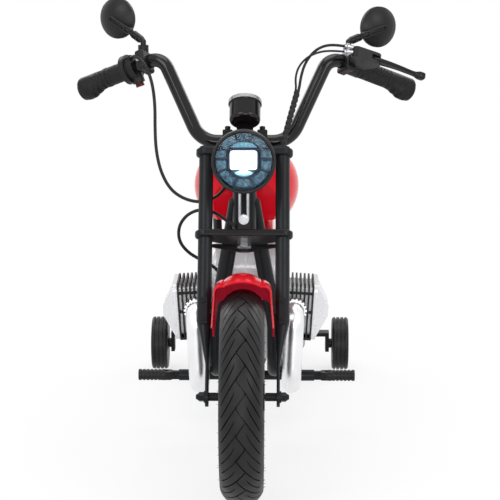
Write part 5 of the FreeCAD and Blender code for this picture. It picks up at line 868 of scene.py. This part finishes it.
def add_headlight():
    for name, build, slot, finish, replaced in (
            ("headlight_reflector", build_reflector, "black_plastic", "lamp_navy", ("headlight_mask",)),
            ("headlight_facets", build_facets, "lamp_lens", "lamp_blue", ()),
            ("headlight_chambers", build_chambers, "lamp_lens", "lamp_halo", ()),
            ("headlight_lamp", build_lamp, "lamp_lens", "lamp_white", ()),
            ("headlight_spill", build_spill, "lamp_lens", "lamp_spill", ()),
            ("headlight_bezel", build_bezel, "black_plastic", None, ())):
        add_built(name, build, "steering", slot, finish, replaced)


# Hand controls

BAR_END = at(269.6, 335.6, 589.2)
BAR_CORNER = at(133.6, 275, 646.5)
HAND_RISE = math.radians(30)
HAND_IN = (BAR_CORNER - BAR_END).normalized()
HAND_OUT = Vector((0, -math.cos(HAND_RISE), math.sin(HAND_RISE)))
HAND_OUT = (HAND_OUT - HAND_IN * HAND_OUT.dot(HAND_IN)).normalized()
HAND_UP = HAND_IN.cross(HAND_OUT)
BORE_RADIUS = 11.25
GRIP_RADIUS = 15.2
GRIP_END = -5.0
GRIP_SIDES = 96
# Each grip's side, its length and where its slanted grooves start and end
GRIPS = {"left": (1, 107.0, (52.0, 90.0)), "right": (-1, 56.0, (39.0, 50.0))}
WING_KEYS = ((-5, 5.5), (4, 8.2), (13, 9.8), (21, 9.3), (31, 5.2), (41, 1.1), (48, 0.0), (200, 0.0))
PANEL_MIDDLE = (17.0, math.radians(-28))
PANEL_HALF = (15.5, math.radians(52))
KNURL = {"pitch": 3.2, "count": 33, "width": 0.22}
KNURL_DEPTH = 0.55
# Where the panel's rim starts and ends, as shares of the panel's half size
PANEL_RIM = (0.93, 1.05)
PANEL_RIM_DEPTH = 0.8
RIBS = {"pitch": 6.4, "count": 9, "width": 0.16}
RIB_DEPTH = 0.9
RIB_FADE = 3
WING_POWER = 1.4
LIP_LENGTH = 6
LIP_HEIGHT = 0.8
LIP_GROOVE = (7.5, 9.5)
NOSE_LENGTH = 10.0
SLEEVE_START = 56.5
SLEEVE_END = 88.5
SLEEVE_STEPS = 44
SLEEVE_CROSS = {"pitch": 9, "count": 11, "width": 0.09}
SLEEVE_CROSS_DEPTH = 0.55
# The sleeve's lips, as the reach from its end and the radius
SLEEVE_LIPS = ((2.4, 17.4), (4.2, 15.9), (6.4, 16.6))


def hand_point(side, along, out, up):
    """A point by the left hand's frame: along the bar from its end, out to the lever, up."""
    place = BAR_END + (HAND_IN * along + HAND_OUT * out + HAND_UP * up) * MM
    return Vector((place.x * side, place.y, place.z))


def between(keys, value, smooth=False):
    """A value between (place, value) keys, on a straight or a smooth run."""
    for (start, low), (end, high) in zip(keys, keys[1:]):
        if value <= end:
            share = (value - start) / (end - start)
            return low + (high - low) * (share * share * (3 - 2 * share) if smooth else share)
    return keys[-1][1]


def slanted(along, turn, pitch, count, width):
    """1 inside the grooves of a slanted pattern round the bar, sloping to 0 beside them."""
    away = abs((along / pitch + turn * count / FULL_TURN) % 1.0 - 0.5) / width
    return max(0.0, min(1.0, 2.0 - 2.0 * away))


def crossed(along, turn, pitch, count, width):
    return max(slanted(along, turn, pitch, count, width), slanted(along, turn, pitch, -count, width))


def grip_radius(along, turn, length, ribs):
    """Radius of a grip: round, with a palm wing below, a knurled panel, slanted grooves and lips."""
    radius = GRIP_RADIUS + between(WING_KEYS, along, smooth=True) * max(0.0, -math.sin(turn)) ** WING_POWER
    from_panel = math.hypot((along - PANEL_MIDDLE[0]) / PANEL_HALF[0],
                            (turn - PANEL_MIDDLE[1]) / PANEL_HALF[1])
    if from_panel < PANEL_RIM[0]:
        radius -= KNURL_DEPTH * crossed(along, turn, **KNURL)
    elif from_panel < PANEL_RIM[1]:
        radius -= PANEL_RIM_DEPTH
    if ribs[0] < along < ribs[1]:
        fade = min(1.0, (along - ribs[0]) / RIB_FADE, (ribs[1] - along) / RIB_FADE)
        radius -= RIB_DEPTH * fade * slanted(along, turn, **RIBS)
    from_end = length - along
    if LIP_GROOVE[0] < from_end < LIP_GROOVE[1] or abs(along - ribs[0] + RIB_FADE) < 0.8:
        radius -= RIB_DEPTH
    if from_end < LIP_LENGTH:
        radius += LIP_HEIGHT
    inset = min(1.0, (along - GRIP_END) / NOSE_LENGTH)
    return radius * math.sqrt(max(0.0, 1 - (1 - inset) ** 2))


def sleeve_radius(along, turn):
    """Radius of the twist sleeve: crossed grooves, and two lips at the throttle's end."""
    from_end = SLEEVE_END - along
    for reach, radius in SLEEVE_LIPS:
        if from_end < reach:
            return radius
    fade = min(1.0, (along - SLEEVE_START) / 4, max(0.0, from_end - 7) / 3)
    return GRIP_RADIUS + 0.3 - SLEEVE_CROSS_DEPTH * fade * crossed(along, turn, **SLEEVE_CROSS)


def bore_radius(along, turn):
    return BORE_RADIUS


def build_round(shape, side, stations):
    """A tube round the bar, from stations of a place along it and a function for the radius there."""
    rings = []
    for along, radius_at in stations:
        places = []
        for turn in turns(GRIP_SIDES, -math.pi):
            radius = radius_at(along, turn)
            places.append(hand_point(side, along, radius * math.cos(turn), radius * math.sin(turn)))
        rings.append(places)
    loft(shape, rings)


def build_grip(shape, side, length, ribs):
    nose = [GRIP_END + 0.05 + 9.5 * (step / 14) ** 2 for step in range(15)]
    places = nose + evenly(nose[-1], length, int((length - nose[-1]) / 0.8))[1:]
    build_round(shape, side, [
        (along, lambda along, turn: grip_radius(along, turn, length, ribs)) for along in places]
        + [(length, bore_radius)])


def build_sleeve(shape):
    places = evenly(SLEEVE_START, SLEEVE_END, SLEEVE_STEPS)
    build_round(shape, -1, [(SLEEVE_START, bore_radius)] + [(along, sleeve_radius) for along in places]
                + [(SLEEVE_END, bore_radius)])


# The lever's blade as (along, out, half width, half thickness)
LEVER_STATIONS = ((112.0, 46.0, 2.2, 2.0), (110.8, 46.0, 5.4, 3.2), (108.0, 46.0, 7.8, 3.5),
                  (104.0, 46.2, 9.0, 3.5), (97.0, 46.6, 9.6, 3.5), (89.0, 47.6, 9.2, 3.5),
                  (78.0, 49.4, 8.0, 3.4), (64.0, 50.6, 6.8, 3.3), (50.0, 50.8, 6.0, 3.2),
                  (38.0, 50.4, 5.4, 3.2), (29.0, 50.6, 5.0, 3.4), (25.0, 51.2, 5.4, 4.6),
                  (22.0, 51.8, 6.6, 6.0), (17.0, 52.1, 6.9, 6.4), (12.6, 52.3, 6.7, 6.2),
                  (11.4, 52.4, 5.8, 5.2), (11.2, 52.4, 2.0, 1.8))


def build_lever(shape):
    section = [squared(turn, 0.6) for turn in turns(24)]
    loft(shape, [[hand_point(1, along, out + half * across, thick * above)
                  for across, above in section] for along, out, half, thick in LEVER_STATIONS])


MIRROR_ELBOW = hand_point(1, 128.0, 4.0, 17.0) + Vector((0, 0, 18.0 * MM))
MIRROR_RISES = {"left": (1, math.radians(17.5)), "right": (-1, math.radians(30.5))}
MIRROR_ARM_LENGTH = 26.0
MIRROR_SPINE_LENGTH = 46.0
STEM_HALF_WIDTH = 5.6
STEM_HALF_DEPTH = 4.9
STEM_STEPS = 60
SLOT_DEPTH = 2.2
# A stem's section as shares of its half width and half depth, with the two points that sink in a slot
STEM_SECTION = ((1, 0.8), (1, -0.6), (0.8, -1.0), (-0.8, -1.0), (-1, -0.6), (-1, 0.8), (-0.85, 1.0),
                (-0.62, 1.0), (-0.55, 1.0), (0.55, 1.0), (0.62, 1.0), (0.85, 1.0))
SLOT_POINTS = (8, 9)


def build_stem(shape, side, rise, start, end, slots, taper, forward):
    """A flat moulded stem along a mirror's arm, with sunken slots in its front."""
    way = Vector((math.cos(rise) * math.cos(MIRROR_TURN) * side, math.cos(rise) * math.sin(MIRROR_TURN),
                  math.sin(rise)))
    front = Vector((math.sin(MIRROR_TURN) * side, -math.cos(MIRROR_TURN), 0))
    wide = way.cross(front).normalized()
    elbow = Vector((MIRROR_ELBOW.x * side, MIRROR_ELBOW.y, MIRROR_ELBOW.z))
    rings = []
    for step, along in enumerate(evenly(start, end, STEM_STEPS)):
        share = step / STEM_STEPS
        to_end = min(along - start, end - along)
        close = math.sqrt(max(0.02, 1 - max(0.0, 1 - to_end / STEM_HALF_WIDTH) ** 2))
        half = STEM_HALF_WIDTH * close * (1 - taper * share)
        sunk = SLOT_DEPTH if any(low < along < high for low, high in slots) else 0.0
        places = []
        for index, (u, v) in enumerate(STEM_SECTION):
            depth = STEM_HALF_DEPTH * v - (sunk if index in SLOT_POINTS else 0.0) + forward * share
            places.append(elbow + (way * along + wide * half * u + front * depth) * MM)
        rings.append(places)
    loft(shape, rings)


def add_mirror_stems():
    for word, (side, rise) in MIRROR_RISES.items():
        add_built("mirror_arm_cover_" + word, lambda shape: build_stem(
            shape, side, rise, start=1.0, end=MIRROR_ARM_LENGTH, slots=((4.0, 10.5), (14.0, 21.0)),
            taper=0.0, forward=0.0), "mirror_arm_" + word, "black_plastic")
        add_built("mirror_spine_" + word, lambda shape: build_stem(
            shape, side, rise, start=MIRROR_ARM_LENGTH + 0.6,
            end=MIRROR_ARM_LENGTH + MIRROR_SPINE_LENGTH, slots=((30.0, 37.0), (41.0, 68.0)),
            taper=0.25, forward=4.5), "mirror_head_" + word, "black_plastic")


def add_hand_controls():
    add_mirror_stems()
    for word, grip in GRIPS.items():
        add_built("grip_" + word + "_moulded", lambda shape: build_grip(shape, *grip), "steering",
                  "hard_rubber", replaced=("grip_" + word,), sharp=50.0)
    add_built("throttle_sleeve_moulded", build_sleeve, "throttle_sleeve", "hard_rubber",
              replaced=("throttle_sleeve",), sharp=50.0)
    blade = modified(mesh_from("brake_lever_blade", build_lever), "SUBSURF", levels=2)
    add_piece("brake_lever_blade", blade, "brake_lever", "black_steel", replaced=("brake_lever",))


# Instrument

DIAL_TICKS = 21
LONG_TICK_EVERY = 5
DIAL_SWEEP = math.radians(240)
DIAL_RADIUS = 17.2
# Each tick's inner radius and half width
LONG_TICK = (13.0, 0.55)
SHORT_TICK = (15.0, 0.3)
NEEDLE_HUB = ((0.3, 0.02), (2.6, 0.02), (2.6, 0.9), (2.0, 1.4), (0.3, 1.5))


def dial_point(right, up, height):
    return DIAL_MIDDLE + (Vector((-right, 0, 0)) + DIAL_UP * up + DIAL_TOWARD * height) * MM


def add_bar(shape, turn, start, end, half_start, half_end, low, high):
    """A flat tapered bar on the dial, from one radius to another at an angle."""
    x, z = math.sin(turn), math.cos(turn)
    corners = [(x * reach - z * half, z * reach + x * half) for reach, half in (
        (start, half_start), (end, half_end), (end, -half_end), (start, -half_start))]
    loft(shape, [[dial_point(*corner, height) for corner in corners] for height in (low, high)])


def build_ticks(shape):
    for tick, turn in enumerate(evenly(-DIAL_SWEEP / 2, DIAL_SWEEP / 2, DIAL_TICKS - 1)):
        inner, half = SHORT_TICK if tick % LONG_TICK_EVERY else LONG_TICK
        add_bar(shape, turn, inner, DIAL_RADIUS, half, half, low=0.02, high=0.25)


def build_needle(shape):
    add_bar(shape, -DIAL_SWEEP / 2, start=-4, end=14.5, half_start=0.9, half_end=0.25, low=0.5, high=0.9)
    lathe(shape, NEEDLE_HUB, dial_point, 32)


def add_dial():
    add_built("gauge_dial_ticks", build_ticks, "steering", "black_plastic", "dial_white")
    add_built("gauge_needle", build_needle, "steering", "button_red")


# Seat

SEAT_FRONT = 494.0
SEAT_LENGTH = 204.0
SEAT_WIDTH = 168.0
SEAT_FLOOR = 374.0
SEAT_HEIGHT = 52.0
# Shares of the width and the height at shares of the length
SEAT_WIDTHS = ((0, 0.42), (0.14, 0.62), (0.38, 0.86), (0.62, 1.0), (0.86, 0.96), (1, 0.8))
SEAT_HEIGHTS = ((0, 0.55), (0.14, 0.62), (0.38, 0.62), (0.62, 0.7), (0.86, 0.96), (1, 0.8))
SEAT_CHANNELS = (0.3, 0.44, 0.58, 0.72)
SEAT_SHRINK = 3.5
SEAT_LIFT = 0.4
SEAT_CORNER_POWER = 0.55
SEAT_CROWN = 0.14
SEAT_FOOT_SHARE = 0.94
SEAT_STEPS = 40
SEAT_SIDES = 48
SEAT_VOXEL = 0.005
SEAT_PRESSURE = 4.0
SEAT_FRAMES = 20
SEAT_SWELL_CAP = 0.007
PINNED_HEIGHT = 3.0
CHANNEL_DEPTH = 4.2
CHANNEL_HALF_WIDTH = 3.4
PIPING_RADIUS = 2.4
PIPING_INSET = 2.0
PIPING_STEPS = 30
STITCH_LENGTH = 5.2
STITCH_RADIUS = 0.5
STITCH_LIFT = 0.3
STITCH_SPAN = 0.86
# A stitch's start, middle and end as shares of the pitch
STITCH_PARTS = (0.15, 0.5, 0.8)
ABOVE_SEAT = SEAT_FLOOR + 120


def seat_half(share):
    return SEAT_WIDTH * between(SEAT_WIDTHS, share) / 2


def seat_section(share):
    """Outline of the seat across x at a share of its length, a little inside the finished size."""
    half = seat_half(share) - SEAT_SHRINK
    height = SEAT_HEIGHT * between(SEAT_HEIGHTS, share) - SEAT_SHRINK
    outline = []
    for turn in turns(SEAT_SIDES):
        across, lift = squared(turn, SEAT_CORNER_POWER)
        crown = 1 - SEAT_CROWN * across ** 2
        narrow = SEAT_FOOT_SHARE if lift < -0.9 else 1.0
        outline.append((across * half * narrow,
                        SEAT_FLOOR + SEAT_LIFT + height * (lift + 1) / 2 * crown))
    return outline


def build_seat(shape):
    rings = []
    for share in evenly(0, 1, SEAT_STEPS):
        back = SEAT_FRONT + SEAT_SHRINK + (SEAT_LENGTH - 2 * SEAT_SHRINK) * share
        draw = min(1.0, 0.9 + 2 * min(share, 1 - share))
        rings.append([at(x * draw, back, z) for x, z in seat_section(share)])
    loft(shape, rings)


def swollen(mesh):
    """The mesh after a short cloth run under pressure, its foot pinned and its travel capped."""
    holder = add_object("seat_cloth", mesh)
    pins = holder.vertex_groups.new(name="foot")
    foot = (SEAT_FLOOR + PINNED_HEIGHT) * MM
    pins.add([vertex.index for vertex in mesh.vertices if vertex.co.z < foot], 1.0, "REPLACE")
    cloth = holder.modifiers.new("cloth", "CLOTH")
    cloth.settings.vertex_group_mass = "foot"
    cloth.settings.use_pressure = True
    cloth.settings.uniform_pressure_force = SEAT_PRESSURE
    cloth.settings.effector_weights.gravity = 0.0
    cloth.point_cache.frame_end = SEAT_FRAMES
    for step in range(1, SEAT_FRAMES + 1):
        SCENE.frame_set(step)
    result = taken_from(holder)
    for before, after in zip(mesh.vertices, result.vertices):
        move = after.co - before.co
        if move.length > SEAT_SWELL_CAP:
            after.co = before.co + move * (SEAT_SWELL_CAP / move.length)
    SCENE.frame_set(1)
    return result


def press_channels(mesh):
    """Draws the cover in along the sewn channels across the seat's top."""
    for vertex in mesh.vertices:
        rise = max(0.0, min(1.0, (vertex.normal.z + 0.1) / 0.5))
        place = (vertex.co.y - FRONT_AXLE.y) / MM
        for share in SEAT_CHANNELS:
            away = (place - SEAT_FRONT - SEAT_LENGTH * share) / CHANNEL_HALF_WIDTH
            vertex.co.z -= CHANNEL_DEPTH * MM * rise * math.exp(-away * away)


def build_piping(shape):
    """A cord of cover material round the seat's lower edge."""
    run = SEAT_LENGTH - 2 * PIPING_INSET
    right = [at(seat_half(share) - PIPING_INSET, SEAT_FRONT + PIPING_INSET + run * share,
                SEAT_FLOOR + PINNED_HEIGHT) for share in evenly(0, 1, PIPING_STEPS)]
    loop = right + [Vector((-place.x, place.y, place.z)) for place in reversed(right)]
    rings = []
    for index, place in enumerate(loop):
        ahead = (loop[(index + 1) % len(loop)] - loop[index - 1]).normalized()
        beside = ahead.cross(Vector((0, 0, 1)))
        rings.append([place + beside * u + Vector((0, 0, v))
                      for u, v in round_section(PIPING_RADIUS, 12)])
    loft(shape, rings, hoop=True)


def build_stitches(shape, mesh):
    """Short thread stitches along each sewn channel, laid on the cover."""
    cover = BVHTree.FromPolygons([vertex.co for vertex in mesh.vertices],
                                 [polygon.vertices for polygon in mesh.polygons])
    for share in SEAT_CHANNELS:
        back = SEAT_FRONT + SEAT_LENGTH * share
        half = seat_half(share) * STITCH_SPAN
        count = int(half * 2 / STITCH_LENGTH)
        for stitch in range(count):
            hits = [cover.ray_cast(at(-half + half * 2 * (stitch + part) / count, back, ABOVE_SEAT),
                                   Vector((0, 0, -1)))[0] for part in STITCH_PARTS]
            if None not in hits:
                sweep(shape, [hit + Vector((0, 0, STITCH_LIFT * MM)) for hit in hits],
                      lambda part: round_section(STITCH_RADIUS, 6))


def add_seat():
    mesh = modified(mesh_from("seat_cover", build_seat), "REMESH", mode="VOXEL", voxel_size=SEAT_VOXEL)
    mesh = swollen(mesh)
    mesh = modified(mesh, "SUBSURF", levels=1)
    press_channels(mesh)
    cover = add_piece("seat_cover", mesh, "frame", "seat_vinyl", replaced=("seat_cushion",), sharp=70.0)
    add_built("seat_piping", build_piping, "frame", "seat_vinyl")
    add_built("seat_stitches", lambda shape: build_stitches(shape, mesh), "frame", "seat_vinyl")


# Stage

CAMERA_PLACE = (0.05167, -2.97947, 0.9385)
CAMERA_PITCH = 11.94
CAMERA_YAW = 0.89
CAMERA_LENS = 129.35
CAMERA_SENSOR = 36.0
SKY_LIGHT = (0.96, 0.98, 1.0, 1)
SKY_STRENGTH = 0.45
FLOOR_HALF = 20.0
FLOOR_COLOUR = (0.92, 0.92, 0.92, 1)
FLOOR_WHITE_SHARE = 0.76
FLOOR_FADE_START = 0.7
FLOOR_FADE_END = 1.9
# Each lamp's place, size and power
LAMPS = (
    ((-1.6, -2.2, 2.3), 1.6, 30.0),
    ((1.9, -1.9, 1.9), 1.4, 24.0),
    ((0.2, -3.6, 0.6), 1.6, 36.0),
    ((0.0, 0.2, 2.9), 1.8, 26.0),
    ((-1.7, 2.1, 1.8), 1.4, 22.0),
    ((1.7, 2.2, 2.0), 1.4, 22.0),
)
LAMP_TARGET = Vector((0.0, 0.0, 0.35))


def add_camera():
    camera = bpy.data.cameras.new("camera")
    camera.sensor_width = CAMERA_SENSOR
    camera.lens = CAMERA_LENS
    camera.clip_end = 100.0
    holder = add_object("camera", camera)
    holder.location = CAMERA_PLACE
    holder.rotation_euler = (math.radians(90 - CAMERA_PITCH), 0, math.radians(CAMERA_YAW))
    SCENE.camera = holder


def empty_tree(owner):
    owner.use_nodes = True
    owner.node_tree.nodes.clear()
    return owner.node_tree


def seen_share(tree):
    """1 for rays from the camera, mirror reflections and clear pieces, 0 for other light."""
    path = tree.nodes.new("ShaderNodeLightPath")
    total = path.outputs["Is Camera Ray"]
    for kind in ("Is Glossy Ray", "Is Transmission Ray"):
        total = combine(tree, "MAXIMUM", total, path.outputs[kind])
    return total


def mix_surface(tree, output, share, light, shown):
    mix = add_node(tree, "ShaderNodeMixShader", {
        "Fac": share, 1: light.outputs[0], 2: shown.outputs[0]})
    add_node(tree, output, {"Surface": mix.outputs[0]})


def add_world():
    SCENE.world = bpy.data.worlds.new("studio")
    tree = empty_tree(SCENE.world)
    shown = add_node(tree, "ShaderNodeBackground", {"Color": (1, 1, 1, 1), "Strength": 1.0})
    light = add_node(tree, "ShaderNodeBackground", {"Color": SKY_LIGHT, "Strength": SKY_STRENGTH})
    mix_surface(tree, "ShaderNodeOutputWorld", seen_share(tree), light, shown)


def add_floor():
    """A matt floor that takes the shadow and fades to white away from the object."""
    mesh = bpy.data.meshes.new("floor")
    corners = [(x * FLOOR_HALF, y * FLOOR_HALF, 0) for x, y in ((-1, -1), (1, -1), (1, 1), (-1, 1))]
    mesh.from_pydata(corners, [], [(0, 1, 2, 3)])
    floor = add_object("floor", mesh)
    material = bpy.data.materials.new("floor")
    tree = empty_tree(material)
    matt = add_node(tree, "ShaderNodeBsdfDiffuse", {"Color": FLOOR_COLOUR})
    white = tree.nodes.new("ShaderNodeEmission")
    place = tree.nodes.new("ShaderNodeTexCoord")
    reach = add_node(tree, "ShaderNodeVectorMath", {0: place.outputs["Object"]}, operation="LENGTH")
    fade = spread(tree, reach.outputs["Value"], FLOOR_WHITE_SHARE, 1.0, FLOOR_FADE_START, FLOOR_FADE_END)
    share = combine(tree, "MULTIPLY", seen_share(tree), fade)
    mix_surface(tree, "ShaderNodeOutputMaterial", share, matt, white)
    mesh.materials.append(material)


def add_lamps():
    for place, size, power in LAMPS:
        lamp = bpy.data.lights.new("softbox", "AREA")
        lamp.shape = "SQUARE"
        lamp.size = size
        lamp.energy = power
        holder = add_object("softbox", lamp)
        holder.location = place
        holder.rotation_euler = (LAMP_TARGET - Vector(place)).to_track_quat("-Z", "Y").to_euler()


bpy.context.scene.view_settings.view_transform = "Standard"
add_camera()
add_cords()
finish_cad_nodes()
add_tyre("front_tyre_tread", "front_tyre", "front_wheel")
add_tyre("rear_tyre_tread", "rear_tyre", "rear_wheel")
add_headlight()
add_hand_controls()
add_dial()
add_seat()
add_world()
add_floor()
add_lamps()
